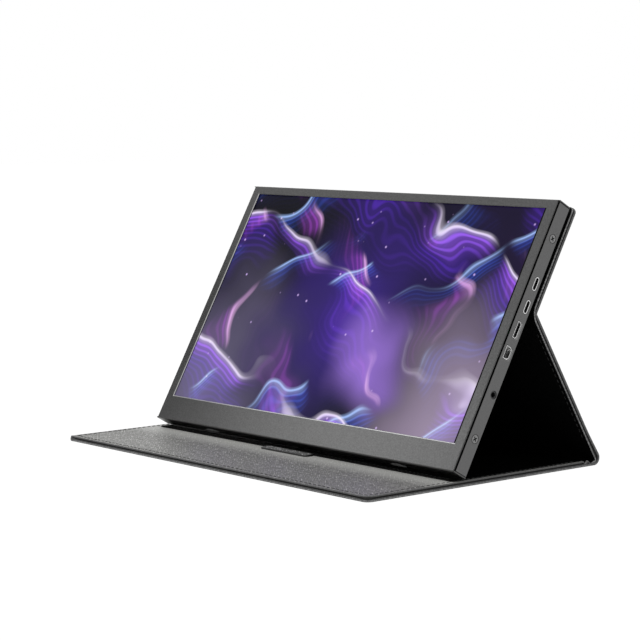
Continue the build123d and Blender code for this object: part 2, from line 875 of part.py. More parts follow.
def panel_blank(s0, s1, h0, h1, inset, free_ends):
    """Flat leather layer of a panel, with rounded corners at its free ends."""
    x1 = cover_half - inset
    y0 = s0 + (inset if "low" in free_ends else 0)
    y1 = s1 - (inset if "high" in free_ends else 0)
    blank = bar(-x1, x1, y0, y1, h0, h1)
    upright = blank.edges().filter_by(Axis.Z).group_by(Axis.Y)
    radius = corner_r - inset
    if "low" in free_ends:
        blank = fillet(upright[0], radius)
    if "high" in free_ends:
        blank = fillet(upright[-1], radius)
    return blank


def panel_skin(s0, s1, free_ends):
    """Outer leather: a sheet with its edges turned up round the board."""
    skin = panel_blank(s0, s1, 0, rim_h, 0, free_ends)
    skin = fillet(skin.faces().sort_by(Axis.Z)[0].edges(), edge_r)
    inner = panel_blank(s0 - (0 if "low" in free_ends else overrun),
                        s1 + (0 if "high" in free_ends else overrun),
                        skin_t, rim_h + overrun, rim_w, free_ends)
    return skin - inner


def panel_board_sheet(s0, s1, free_ends):
    """Stiff board inside a panel."""
    return panel_blank(s0, s1, skin_t, cover_panel_t - lining_t, rim_w + board_room, free_ends)


def panel_lining(s0, s1, free_ends):
    """Inner leather, laid on the board."""
    lining = panel_blank(s0, s1, cover_panel_t - lining_t, cover_panel_t, lining_in, free_ends)
    return fillet(lining.faces().sort_by(Axis.Z)[-1].edges(), edge_r)


def magnet_places():
    """X places of the two flap magnets."""
    return [side * magnet_x for side in (-1, 1)]


def magnet_seat():
    """Height of the pocket floors, on which the magnets lie."""
    return cover_panel_t - lining_t - magnet_t - magnet_room


def flap_board():
    """Board of the flap with two pockets for magnets."""
    board = panel_board_sheet(0, flap_l - flap_setback, ("low",))
    for x in magnet_places():
        half = magnet_l / 2 + magnet_room
        board = board - bar(x - half, x + half, magnet_in - magnet_room,
                            magnet_in + magnet_w + magnet_room,
                            magnet_seat(), cover_panel_t + overrun)
    return board


def flap_magnets():
    """Two flat magnets near the front edge of the flap."""
    return [bar(x - magnet_l / 2, x + magnet_l / 2, magnet_in, magnet_in + magnet_w,
                magnet_seat(), magnet_seat() + magnet_t) for x in magnet_places()]


def stop_strip():
    """Leather strip on the flap, under the rear bottom edge of the screen."""
    y0 = rest_point[0] - strip_front
    y1 = rest_point[0] + strip_back
    x1 = cover_half - strip_in
    return bar(-x1, x1, y0, y1, cover_panel_t, cover_panel_t + strip_t)


def leather_tab():
    """Leather tab in front of the strip, thicker than the strip."""
    y1 = rest_point[0] - strip_front
    tab = bar(-tab_w / 2, tab_w / 2, y1 - tab_l, y1, cover_panel_t, cover_panel_t + tab_t)
    tab = fillet(tab.edges().filter_by(Axis.Z).group_by(Axis.Y)[0], tab_r)
    return fillet(tab.faces().sort_by(Axis.Z)[-1].edges(), edge_r)


def cross_section(points):
    """Closed outline in the side view, pulled across the whole width of the cover."""
    face = make_face(Plane.YZ * points)
    return extrude(face, amount=cover_half, both=True)


def spine_skin():
    """Outer leather between the two folds, with a rolled edge on each fold line."""
    web = bar(-cover_half, cover_half, flap_fold[0], rear_fold[0], 0, skin_t)
    front = Pos(0, flap_fold[0], flap_roll_r) * Rot(0, 90, 0) * Cylinder(flap_roll_r, cover_half * 2)
    back = Pos(0, rear_fold[0], rear_fold[1]) * Rot(0, 90, 0) * Cylinder(half_t, cover_half * 2)
    return web + front + back


def spine_lining():
    """Soft inner leather of the spine, gathered into two wrinkles."""
    y0 = flap_fold[0] + wrinkle_start
    y2 = rear_fold[0] - half_t - wrinkle_end
    y1 = (y0 + y2) / 2
    first, second = wrinkle_tops
    low = Polyline((y0, wrinkle_base), (y0, skin_t), (y2, skin_t), (y2, wrinkle_base))
    front = ThreePointArc((y0, wrinkle_base), ((y0 + y1) / 2, first), (y1, wrinkle_base))
    back = ThreePointArc((y1, wrinkle_base), ((y1 + y2) / 2, second), (y2, wrinkle_base))
    return cross_section(low + front + back)


def rear_skin():
    """Outer leather of the rear panel, reaching close round the rear fold."""
    skin = panel_skin(rear_setback, rear_l - middle_setback, ())
    lip = bar(-cover_half, cover_half, rear_skin_setback, rear_setback, 0, skin_t)
    return skin + lip


def middle_crease():
    """Leather roll on the middle fold, carried by the rear panel's board."""
    web = bar(-cover_half + rim_w, cover_half - rim_w, rear_l - middle_setback, rear_l,
              half_t - crease_web / 2, half_t + crease_web / 2)
    roll = Pos(0, rear_l, half_t) * Rot(0, 90, 0) * Cylinder(middle_roll_r, cover_half * 2)
    return web + roll


def adhesive_pad():
    """Sticky pad between the rear cover and the upper panel."""
    return slab(-half_w + pad_side, half_w - pad_side, fold_v + pad_low, unit_h - pad_high,
                plateau_d, panel_d)


def group(solids):
    """Separate solids of one node."""
    return Compound(children=list(solids))


def screen_parts():
    """Every piece of the screen unit, in the frame of its front face."""
    parts = {
        "front_bezel": front_bezel(),
        "side_plate_right": side_plate_right(),
        "side_plate_left": side_plate_left(),
        "rear_cover": rear_cover(),
        "corner_posts": group(corner_posts()),
        "board_standoffs": group(board_standoffs()),
        "side_screws": group(side_screws()),
        "cover_screws": group(cover_screws()),
        "window_gasket": window_gasket(),
        "lcd_glass": lcd_glass(),
        "diffuser_films": diffuser_films(),
        "light_guide": light_guide(),
        "reflector_sheet": reflector_sheet(),
        "led_strip": led_strip(),
        "panel_frame": panel_frame(),
        "panel_board": panel_board(),
        "main_board": main_board(),
        "board_chips": group(board_chips()),
        "board_shield": board_shield(),
        "board_screws": group(board_screws()),
        "usb_c_port_upper": usb_c_port(usb_v[0]),
        "usb_c_port_lower": usb_c_port(usb_v[1]),
        "mini_hdmi_port": mini_hdmi_port(),
        "mini_dp_port": mini_dp_port(),
        "port_tongues": group(port_tongues()),
        "audio_jack": audio_jack(),
        "speaker_left": speaker(-1),
        "speaker_right": speaker(1),
        "speaker_gaskets": group(speaker_gaskets()),
        "key_board": key_board(),
        "key_switches": group(key_switches()),
        "display_cable": display_cable(),
        "key_cable": key_cable(),
        "speaker_leads": group(speaker_leads()),
        "bottom_feet": group(bottom_feet()),
        "adhesive_pad": adhesive_pad(),
    }
    for name, v in button_places():
        parts[name] = push_button(v)
    return parts


def cover_parts():
    """Every piece of the leather cover, each with the frame that it is drawn in."""
    table = up_frame(0, 0, 0)
    flap_end = flap_l - flap_setback
    rear_end = rear_l - middle_setback
    top = upper_l
    return {
        "flap_skin": (flap_frame, panel_skin(0, flap_end, ("low",))),
        "flap_board": (flap_frame, flap_board()),
        "flap_lining": (flap_frame, panel_lining(0, flap_end, ("low",))),
        "flap_magnets": (flap_frame, group(flap_magnets())),
        "stop_strip": (table, stop_strip()),
        "leather_tab": (table, leather_tab()),
        "spine_skin": (table, spine_skin()),
        "spine_lining": (table, spine_lining()),
        "rear_skin": (rear_frame, rear_skin()),
        "rear_board": (rear_frame, panel_board_sheet(rear_setback, rear_end, ())),
        "rear_lining": (rear_frame, panel_lining(rear_setback, rear_end, ())),
        "middle_crease": (rear_frame, middle_crease()),
        "upper_skin": (upper_frame, panel_skin(middle_setback, top, ("high",))),
        "upper_board": (upper_frame, panel_board_sheet(middle_setback, top, ("high",))),
        "upper_lining": (upper_frame, panel_lining(middle_setback, top, ("high",))),
    }


def write_parts():
    """Writes one file for each piece, in its place."""
    placed = {name: screen_frame * shape for name, shape in screen_parts().items()}
    for name, (frame, shape) in cover_parts().items():
        placed[name] = frame * shape
    for name, shape in placed.items():
        export_step(shape, os.path.join("parts", name + ".step"))
    print("pieces", len(placed))


def print_places():
    """Prints the fold lines and the jack's mouth, for the record of the joints and mounts."""
    jack = screen_frame * Pos(half_w - jack_sink, jack_v, -jack_d)
    print("flap fold", flap_fold, "rear fold", rear_fold, "middle fold", middle_fold)
    print("rest point", rest_point, "fold height", fold_v, "jack", jack.position)
    print("fold angles", rear_lean, rear_lean - tilt)


write_parts()
print_places()
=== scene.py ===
import math
import bpy
import numpy as np
from mathutils import Matrix


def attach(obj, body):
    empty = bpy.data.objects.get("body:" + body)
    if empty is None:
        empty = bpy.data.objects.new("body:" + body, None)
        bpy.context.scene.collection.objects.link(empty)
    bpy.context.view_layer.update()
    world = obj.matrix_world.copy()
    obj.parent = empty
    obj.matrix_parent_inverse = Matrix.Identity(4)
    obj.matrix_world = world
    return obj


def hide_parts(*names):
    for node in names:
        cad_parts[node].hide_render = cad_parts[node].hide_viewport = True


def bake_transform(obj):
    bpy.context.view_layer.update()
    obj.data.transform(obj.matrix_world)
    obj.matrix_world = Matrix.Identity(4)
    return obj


# Portable monitor that stands on its folding leather cover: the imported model's pieces get their
# finishes, and the leather, stitches, feet and pad are modelled anew
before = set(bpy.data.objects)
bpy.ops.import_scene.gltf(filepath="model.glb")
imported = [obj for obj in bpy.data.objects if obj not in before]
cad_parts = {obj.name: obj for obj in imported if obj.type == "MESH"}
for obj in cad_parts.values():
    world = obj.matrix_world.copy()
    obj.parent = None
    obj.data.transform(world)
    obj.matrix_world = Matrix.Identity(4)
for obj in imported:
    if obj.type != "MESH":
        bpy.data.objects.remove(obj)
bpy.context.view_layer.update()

# Sizes in millimetres, and headings in degrees from +Y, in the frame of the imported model
MM = 0.001
TILT = 60.6                     # heading of the screen's face
REAR_LEAN = 121.303             # heading of the rear panel
HALF_W = 159.1                  # half width of the cover
PANEL_T = 3.8                   # thickness of a leather panel
FRONT_Y = -104.45               # front edge of the flap
UPPER_L = 76.8                  # length of the upper panel
CORNER_R = 4.0                  # rounded corners of the panels
# The folds, and the rear bottom edge of the screen, as (y, z)
SPINE_FOLD = (89.65, 0.0)
REAR_FOLD = (102.55, 1.9)
MID_FOLD = (40.0984, 104.6027)
REST = (-21.8787, 5.0)
# The screen unit
SCREEN_HALF = 156.1             # half width
SCREEN_X = 3.0                  # its middle stands this far right of the middle of the cover
SCREEN_T = 11.6                 # thickness
SCREEN_H = 191.5                # height up the slope
WINDOW_HALF = 147.4             # half width of the picture opening
WINDOW_LOW, WINDOW_HIGH = 18.8, 185.0
PICTURE_END = 148.2             # right end of the lit picture, from the middle of the cover
FOLD_V = 117.2                  # height of the middle fold up the screen
PAD_SIDE, PAD_LOW, PAD_HIGH = 16.0, 8.0, 9.0    # margins of the sticky pad
# The leather
VALLEY_Y = 94.9                 # valley between the two wrinkles of the spine
LINING_T = 0.9
LINING_IN = 0.3                 # the lining ends this far inside the outer leather
RIM_H = 1.9                     # height of the outer leather's turned rim
RIM_W = 0.85                    # width of that rim
SKIN_T = 0.82                   # height of the outer leather inside the rim
SEAM_IN = 3.6                   # stitches run this far inside an edge
STITCH_PITCH = 4.3
SUNK_IN, SUNK_OUT = -0.02, 0.10     # stitches' height on the lining and in the outer leather
STRIP_FRONT = 9.1               # the strip reaches this far in front of the screen's rear edge
STRIP_BACK = 6.5                # and this far behind it
STRIP_T, TAB_T = 0.75, 1.35     # thickness of the strip and of the tab
TAB_HALF = 24.0
TAB_L = 8.0


# Side-view geometry

def heading(angle):
    """Unit vector of the side view at an angle from +Y, in degrees."""
    a = math.radians(angle)
    return np.array((math.cos(a), math.sin(a)))


def inward(angle):
    """Unit vector a quarter turn to the left of a heading: the inner side of a panel."""
    return heading(angle + 90)


def cross_point(p, a, q, b):
    """Point where the line through p at heading a meets the line through q at heading b."""
    m = np.column_stack((heading(a), -heading(b)))
    t = np.linalg.solve(m, np.asarray(q, float) - np.asarray(p, float))
    return np.asarray(p, float) + t[0] * heading(a)


def side_path(start, angle, steps):
    """Line of the side view: along each (length, turn) the heading turns at a steady rate.

    The point is the running sum of short steps along the heading. Returns length, y, z, heading.
    """
    step = 0.05
    turns, sizes = [], []
    for length, turn in steps:
        count = max(2, int(round(length / step)))
        sizes.append(np.full(count, length / count))
        turns.append(np.full(count, math.radians(turn) / count))
    ds, dt = np.concatenate(sizes), np.concatenate(turns)
    ends = math.radians(angle) + np.cumsum(dt)
    mid = ends - dt / 2
    s = np.concatenate(([0], np.cumsum(ds)))
    y = start[0] + np.concatenate(([0], np.cumsum(ds * np.cos(mid))))
    z = start[1] + np.concatenate(([0], np.cumsum(ds * np.sin(mid))))
    return s, y, z, np.concatenate(([math.radians(angle)], ends))


def smooth_path(points):
    """Smooth line through points of the side view, by cubic pieces with chord-length tangents."""
    p = np.asarray(points, float)
    knots = np.concatenate(([0], np.cumsum(np.linalg.norm(np.diff(p, axis=0), axis=1))))
    slope = np.gradient(p, knots, axis=0)
    fine = np.arange(0, knots[-1], 0.05)
    k = np.clip(np.searchsorted(knots, fine, "right") - 1, 0, len(knots) - 2)
    width = (knots[k + 1] - knots[k])[:, None]
    t = (fine - knots[k])[:, None] / width
    line = ((2 * t**3 - 3 * t**2 + 1) * p[k] + (t**3 - 2 * t**2 + t) * width * slope[k]
            + (3 * t**2 - 2 * t**3) * p[k + 1] + (t**3 - t**2) * width * slope[k + 1])
    d = np.gradient(line, axis=0)
    s = np.concatenate(([0], np.cumsum(np.linalg.norm(np.diff(line, axis=0), axis=1))))
    return s, line[:, 0], line[:, 1], np.unwrap(np.arctan2(d[:, 1], d[:, 0]))


def screen_point(x, v, d):
    """Row-frame points, in metres, at width x, height v up the screen and depth d behind its face."""
    y = REST[0] + v * heading(TILT)[0] - (SCREEN_T - d) * math.sin(math.radians(TILT))
    z = REST[1] + v * heading(TILT)[1] + (SCREEN_T - d) * math.cos(math.radians(TILT))
    return np.stack(np.broadcast_arrays(x + SCREEN_X, y, z), -1) * MM


def on_path(path, x, s, h):
    """Points at width x, length s along a side path and height h on its inner side, in metres."""
    length, py, pz, ang = path
    x, s, h = np.broadcast_arrays(x, s, h)
    a = np.interp(s, length, ang)
    y = np.interp(s, length, py) - h * np.sin(a)
    z = np.interp(s, length, pz) + h * np.cos(a)
    return np.stack((x, y, z), -1) * MM


def spread(*zones):
    """Sorted values from zones of (start, end, count), with repeats removed."""
    values = np.concatenate([np.linspace(a, b, n) for a, b, n in zones])
    return np.unique(np.round(values, 4))


# Mesh builders

def placed(name, data):
    """Object of a mesh, a lamp or a camera, put in the scene."""
    made = bpy.data.objects.new(name, data)
    bpy.context.scene.collection.objects.link(made)
    return made


def mesh_object(name, points, faces, sharp=40, flat=None):
    """Object from points in metres and faces, turned outwards by the sign of its volume.

    flat holds each point's place on the leather laid flat, its distance inside the outline and
    its height in the layer, all in metres, for the material.
    """
    points = np.asarray(points, float).reshape(-1, 3)
    faces = np.asarray(faces, int)
    a, b, c = points[faces[:, 0]], points[faces[:, 1]], points[faces[:, 2]]
    volume = np.einsum("ij,ij->i", a, np.cross(b, c)).sum()
    if faces.shape[1] == 4:
        d = points[faces[:, 3]]
        volume += np.einsum("ij,ij->i", a, np.cross(c, d)).sum()
    if volume < 0:
        faces = faces[:, ::-1]
    mesh = bpy.data.meshes.new(name)
    mesh.from_pydata(points.tolist(), [], faces.tolist())
    mesh.polygons.foreach_set("use_smooth", np.ones(len(faces), bool))
    mesh.set_sharp_from_angle(angle=math.radians(sharp))
    if flat is not None:
        laid = mesh.attributes.new("laid_flat", "FLOAT_VECTOR", "POINT")
        laid.data.foreach_set("vector", np.asarray(flat, float)[:, :3].ravel())
        layer = mesh.attributes.new("layer_height", "FLOAT", "POINT")
        layer.data.foreach_set("value", np.asarray(flat, float)[:, 3].ravel())
    return placed(name, mesh)


def shell_faces(n, m):
    """Quads of a closed shell made of two grids of n by m points, joined along their borders."""
    top = np.arange(n * m).reshape(n, m)
    low = top + n * m
    quads = [
        np.stack((top[:-1, :-1], top[1:, :-1], top[1:, 1:], top[:-1, 1:]), -1).reshape(-1, 4),
        np.stack((low[:-1, :-1], low[:-1, 1:], low[1:, 1:], low[1:, :-1]), -1).reshape(-1, 4),
    ]
    loop = np.concatenate((top[0, :], top[1:, -1], top[-1, -2::-1], top[-2:0:-1, 0]))
    after = np.roll(loop, -1)
    quads.append(np.stack((loop, after, after + n * m, loop + n * m), -1))
    return np.concatenate(quads)


# A panel's columns lie at these distances inside each side, close together where its surface turns
EDGE_COLUMNS = np.array([0, .05, .12, .22, .35, .5, .7, .84, .86, .96, 1.3, 2, 2.7, 3.1, 3.35,
                         3.6, 3.85, 4.1, 4.6, 5.6, 7.5, 10])


def panel_grid(s, s_low, s_high, inset, middle, free_low, free_high, corners):
    """Grid of widths over rows s, and each point's distance inside the panel's rounded outline.

    Near a free end each half width follows its corner's quarter circle. Between the columns of
    the two edges lie as many even ones as middle says. corners are the left and right radius.
    """
    half = HALF_W - inset
    gap = np.full_like(s, np.inf)
    if free_low:
        gap = np.minimum(gap, s - s_low)
    if free_high:
        gap = np.minimum(gap, s_high - s)
    radii = np.array(corners) - inset
    near = np.clip(radii[:, None] - gap, 0, radii[:, None])
    left_w, right_w = half - (radii[:, None] - np.sqrt(radii[:, None] ** 2 - near**2))
    edge, shares = EDGE_COLUMNS, np.linspace(-1, 1, middle + 2)[1:-1]
    reach = (left_w + right_w) / 2 - edge[-1]
    centre = ((right_w - left_w) / 2)[:, None] + shares * reach[:, None]
    x = np.concatenate((edge - left_w[:, None], centre, (right_w[:, None] - edge)[:, ::-1]), 1)
    r = np.where(x < 0, radii[0], radii[1])
    side = half - np.abs(x)
    end = np.broadcast_to(gap[:, None], x.shape)
    corner = (side < r) & (end < r)
    round_d = r - np.hypot(r - side, r - end)
    return x, np.clip(np.where(corner, round_d, np.minimum(side, end)), 0, None)


def rolled(d, r):
    """Drop of a rounded edge of radius r at a distance d inside it: a quarter circle."""
    near = np.clip(r - d, 0, r)
    return r - np.sqrt(np.clip(r * r - near**2, 0, None))


def seam_dip(d, depth):
    """Shallow groove that the stitches pull along the edge: a bell of the distance inside it."""
    half_width = 0.55
    return depth * np.exp(-((d - SEAM_IN) / half_width) ** 2)


def leather_panel(name, path, rows, inset, heights, middle=24, free_low=False, free_high=False,
                  corners=(CORNER_R, CORNER_R)):
    """Leather layer on a side path, with an upper and a lower surface.

    Both heights are functions of the width x, the length s and the distance d inside the edge.
    """
    x, d = panel_grid(rows, rows[0], rows[-1], inset, middle, free_low, free_high, corners)
    s = np.broadcast_to(rows[:, None], x.shape)
    high, low = heights(x, s, d)
    points = np.concatenate((on_path(path, x, s, high).reshape(-1, 3),
                             on_path(path, x, s, low).reshape(-1, 3)))
    flat = np.concatenate([np.stack((x, s, d, h), -1).reshape(-1, 4) for h in (high, low)]) * MM
    return mesh_object(name, points, shell_faces(*x.shape), flat=flat)


def lining_heights(x, s, d):
    """Lining: its face, at height zero, has a rolled edge and a seam groove.

    Between the two it puffs up in a low bell. The underside lies one thickness down.
    """
    puff_height, puff_at, puff_half, edge_r, groove = 0.05, 1.7, 0.9, 0.5, 0.16
    puff = puff_height * np.exp(-((d - puff_at) / puff_half) ** 2)
    return puff - rolled(d, edge_r) - seam_dip(d, groove), np.full_like(d, -LINING_T)


def skin_heights(x, s, d):
    """Outer leather: flat outside with a rolled edge, and a rim turned up round the board."""
    rim_r, edge_r, groove = 0.35, 0.75, 0.14
    rim = np.where(d < RIM_W, RIM_H - rolled(d, rim_r), SKIN_T)
    return rim, rolled(d, edge_r) + seam_dip(d, groove)


def pleated_heights(x, s, d):
    """Outer leather of the flap: its rim gathers at the two front corners.

    It dips at the right one and rises at the left one, by a bell of the distance from the corner.
    """
    dip, rise, corner_in, reach = 0.45, 0.9, 2.0, 4.2
    high, low = skin_heights(x, s, d)
    away = np.hypot(HALF_W - np.abs(x) - corner_in, s - corner_in)
    near = np.exp(-(away / reach) ** 2)
    return np.where(d < RIM_W, high - np.where(x > 0, dip, -rise) * near, high), low


def strewn(points, tangents, normals, length, radius, name):
    """Stitches: a small capsule is copied to each point, along the tangent and half sunk.

    Each copy is the unit capsule times (length, width, height) in the local axes. The capsule's
    rings have a radius of the cosine of the latitude, swollen by a power under one.
    """
    rings, sides, height_share = 5, 8, 0.75
    lat = np.linspace(-math.pi / 2, math.pi / 2, rings + 2)[1:-1]
    lon = np.arange(sides) * 2 * math.pi / sides
    swell = np.cos(lat)[:, None] ** 0.6
    body = np.stack((np.broadcast_to(np.sin(lat)[:, None], (rings, sides)),
                     swell * np.cos(lon), swell * np.sin(lon)), -1).reshape(-1, 3)
    unit = np.concatenate((body, [[-1, 0, 0], [1, 0, 0]]))
    unit = unit * (length / 2, radius, radius * height_share)
    ring = np.arange(rings * sides).reshape(rings, sides)
    turn = np.roll(ring, -1, 1)
    quads = np.stack((ring[:-1], turn[:-1], turn[1:], ring[1:]), -1).reshape(-1, 4)
    first, last = rings * sides, rings * sides + 1
    caps = np.concatenate((np.stack((turn[0], ring[0], np.full(sides, first)), -1),
                           np.stack((ring[-1], turn[-1], np.full(sides, last)), -1)))
    tris = np.concatenate((quads[:, [0, 1, 2]], quads[:, [0, 2, 3]], caps))
    across = np.cross(normals, tangents)
    axes = np.stack((tangents, across, normals), 1)
    places = np.einsum("ki,nij->nkj", unit * MM, axes) + points[:, None, :]
    faces = tris[None] + (np.arange(len(points)) * len(unit))[:, None, None]
    return mesh_object(name, places.reshape(-1, 3), faces.reshape(-1, 3), sharp=80)


def seam_line(s_low, s_high, free_low=False, free_high=False, inset=SEAM_IN):
    """Points and tangents (x, s) of a stitched line inside a panel's sides and free ends.

    It goes round the corners of a free end, and stops a little before the other ends.
    """
    least_r, stop_before, ahead_by = 0.5, 2.0, 0.4
    w, r = HALF_W - inset, max(CORNER_R - inset, least_r)
    quarter = np.linspace(0, math.pi / 2, 12)
    low = s_low + (inset if free_low else stop_before)
    high = s_high - (inset if free_high else stop_before)
    lines = []
    if free_low:
        right = np.stack((w - r + r * np.cos(-quarter), low + r + r * np.sin(-quarter)), -1)
        left = np.stack((-w + r - r * np.sin(quarter), low + r - r * np.cos(quarter)), -1)
        lines.append(np.concatenate(([[w, high]], right, left, [[-w, high]])))
    elif free_high:
        right = np.stack((w - r + r * np.cos(quarter), high - r + r * np.sin(quarter)), -1)
        left = np.stack((-w + r - r * np.sin(quarter), high - r + r * np.cos(quarter)), -1)
        lines.append(np.concatenate(([[w, low]], right, left, [[-w, low]])))
    else:
        lines.extend([np.array([[w, low], [w, high]]), np.array([[-w, low], [-w, high]])])
    places, ways = [], []
    for line in lines:
        run = np.concatenate(([0], np.cumsum(np.linalg.norm(np.diff(line, axis=0), axis=1))))
        count = int(run[-1] / STITCH_PITCH)
        at = (np.arange(count) + 0.5) * run[-1] / count
        here, ahead, behind = (
            np.stack([np.interp(at + step, run, line[:, k]) for k in (0, 1)], -1)
            for step in (0, ahead_by, -ahead_by))
        way = ahead - behind
        places.append(here)
        ways.append(way / np.linalg.norm(way, axis=1)[:, None])
    return np.concatenate(places), np.concatenate(ways)


def stitches(name, path, seam, h, facing):
    """Stitches of a seam on a side path at height h; facing is 1 on the inner side and -1 outside."""
    length, radius = 2.9, 0.42
    places, ways = seam
    at = on_path(path, places[:, 0], places[:, 1], np.full(len(places), h))
    ang = np.interp(places[:, 1], path[0], path[3])
    along = np.stack((np.zeros_like(ang), np.cos(ang), np.sin(ang)), -1)
    normal = np.stack((np.zeros_like(ang), -np.sin(ang), np.cos(ang)), -1) * facing
    tangent = ways[:, :1] * np.array((1.0, 0, 0)) + ways[:, 1:] * along
    return strewn(at, tangent, normal, length, radius, name)


def join(name, pieces):
    """One object from several, by adding their meshes together."""
    points, faces, count = [], [], 0
    for piece in pieces:
        mesh = piece.data
        co = np.empty(len(mesh.vertices) * 3)
        mesh.vertices.foreach_get("co", co)
        points.append(co.reshape(-1, 3))
        faces.extend([[v + count for v in p.vertices] for p in mesh.polygons])
        count += len(mesh.vertices)
        bpy.data.objects.remove(piece)
    mesh = bpy.data.meshes.new(name)
    mesh.from_pydata(np.concatenate(points).tolist(), [], faces)
    mesh.polygons.foreach_set("use_smooth", np.ones(len(mesh.polygons), bool))
    return placed(name, mesh)


# Materials

def linear(code):
    """Linear colour of an sRGB hex value such as 5a5a5c."""
    c = np.array([int(code[i:i + 2], 16) / 255 for i in (0, 2, 4)])
    c = np.where(c <= 0.04045, c / 12.92, ((c + 0.055) / 1.055) ** 2.4)
    return (*c.tolist(), 1.0)


FIRST, SECOND, MIXED = 6, 7, 2  # the two colour inputs of a mix node, and its colour output


def add(tree, kind, settings, out=0):
    """Adds a shader node with its settings and links, and returns its output of that name or number.

    An output socket among the settings is linked, "stops" are a ramp's (place, hex colour) pairs,
    and anything else is set.
    """
    made = tree.nodes.new("ShaderNode" + kind)
    for key, value in settings.items():
        if key == "stops":
            elements = made.color_ramp.elements
            while len(elements) < len(value):
                elements.new(0.5)
            for element, (place, code) in zip(elements, value):
                element.position = place
                element.color = linear(code)
        elif isinstance(value, bpy.types.NodeSocket):
            tree.links.new(value, made.inputs[key])
        elif isinstance(key, str) and hasattr(made, key) and key not in made.inputs:
            setattr(made, key, value)
        else:
            made.inputs[key].default_value = value
    return made.outputs[out] if made.outputs else None


def new_material(name, settings):
    """Material with a principled shader, and the object coordinates in metres."""
    made = bpy.data.materials.new(name)
    made.use_nodes = True
    tree = made.node_tree
    shader = tree.nodes["Principled BSDF"]
    for key, value in settings.items():
        shader.inputs[key].default_value = value
    return made, tree, shader, add(tree, "TexCoord", {}, "Object")


def per(size):
    """Texture scale for features of a size in millimetres, on coordinates in metres."""
    return 1 / (size * MM)


def grained(name, base, dark, roughness, metallic, grain, depth, shade=(0.25, 0.2), field=None):
    """Finish with fine grain: noise of one grain size lifts the surface and varies the colour.

    A broad noise adds a small share to it, and spreads the roughness. In a groove or a hole the
    colour gets painted shade: it is darker by the share of the sky that stays open within a
    millimetre; shade is that open share, and the colour's share left there. A field changes the
    colour from place to place.
    """
    broad_share, rough_span = 0.15, 0.03
    dark_level, pale_level = 0.36 + broad_share / 2, 0.64 + broad_share / 2
    made, tree, shader, place = new_material(name, {"Metallic": metallic})
    fine = add(tree, "TexNoise", {
        "Vector": place, "Scale": per(grain), "Detail": 2.0, "Roughness": 0.6})
    broad = add(tree, "TexNoise", {"Vector": place, "Scale": per(30.0), "Detail": 3.0})
    both = add(tree, "Math", {"operation": "MULTIPLY_ADD", 0: broad, 1: broad_share, 2: fine})
    colour = add(tree, "ValToRGB", {
        "Fac": both, "stops": [(dark_level, dark), (pale_level, base)]})
    seen = colour if field is None else field(tree, place, colour)
    # Painted shade: ambient occlusion within a millimetre darkens the colour in grooves and holes
    open_sky = add(tree, "AmbientOcclusion", {"Distance": 1.0 * MM}, "AO")
    clear = add(tree, "MapRange", {"Value": open_sky, "From Min": shade[0], "From Max": 0.9,
                                   "To Min": shade[1], "To Max": 1.0})
    painted_shade_colour = add(tree, "Mix", {
        "data_type": "RGBA", 0: clear, FIRST: linear("000000"), SECOND: seen}, MIXED)
    tree.links.new(painted_shade_colour, shader.inputs["Base Color"])
    rough = add(tree, "MapRange", {
        "Value": broad, "To Min": roughness - rough_span, "To Max": roughness + rough_span})
    tree.links.new(rough, shader.inputs["Roughness"])
    bump = add(tree, "Bump", {"Height": fine, "Distance": depth * MM, "Strength": 1.0})
    tree.links.new(bump, shader.inputs["Normal"])
    return made


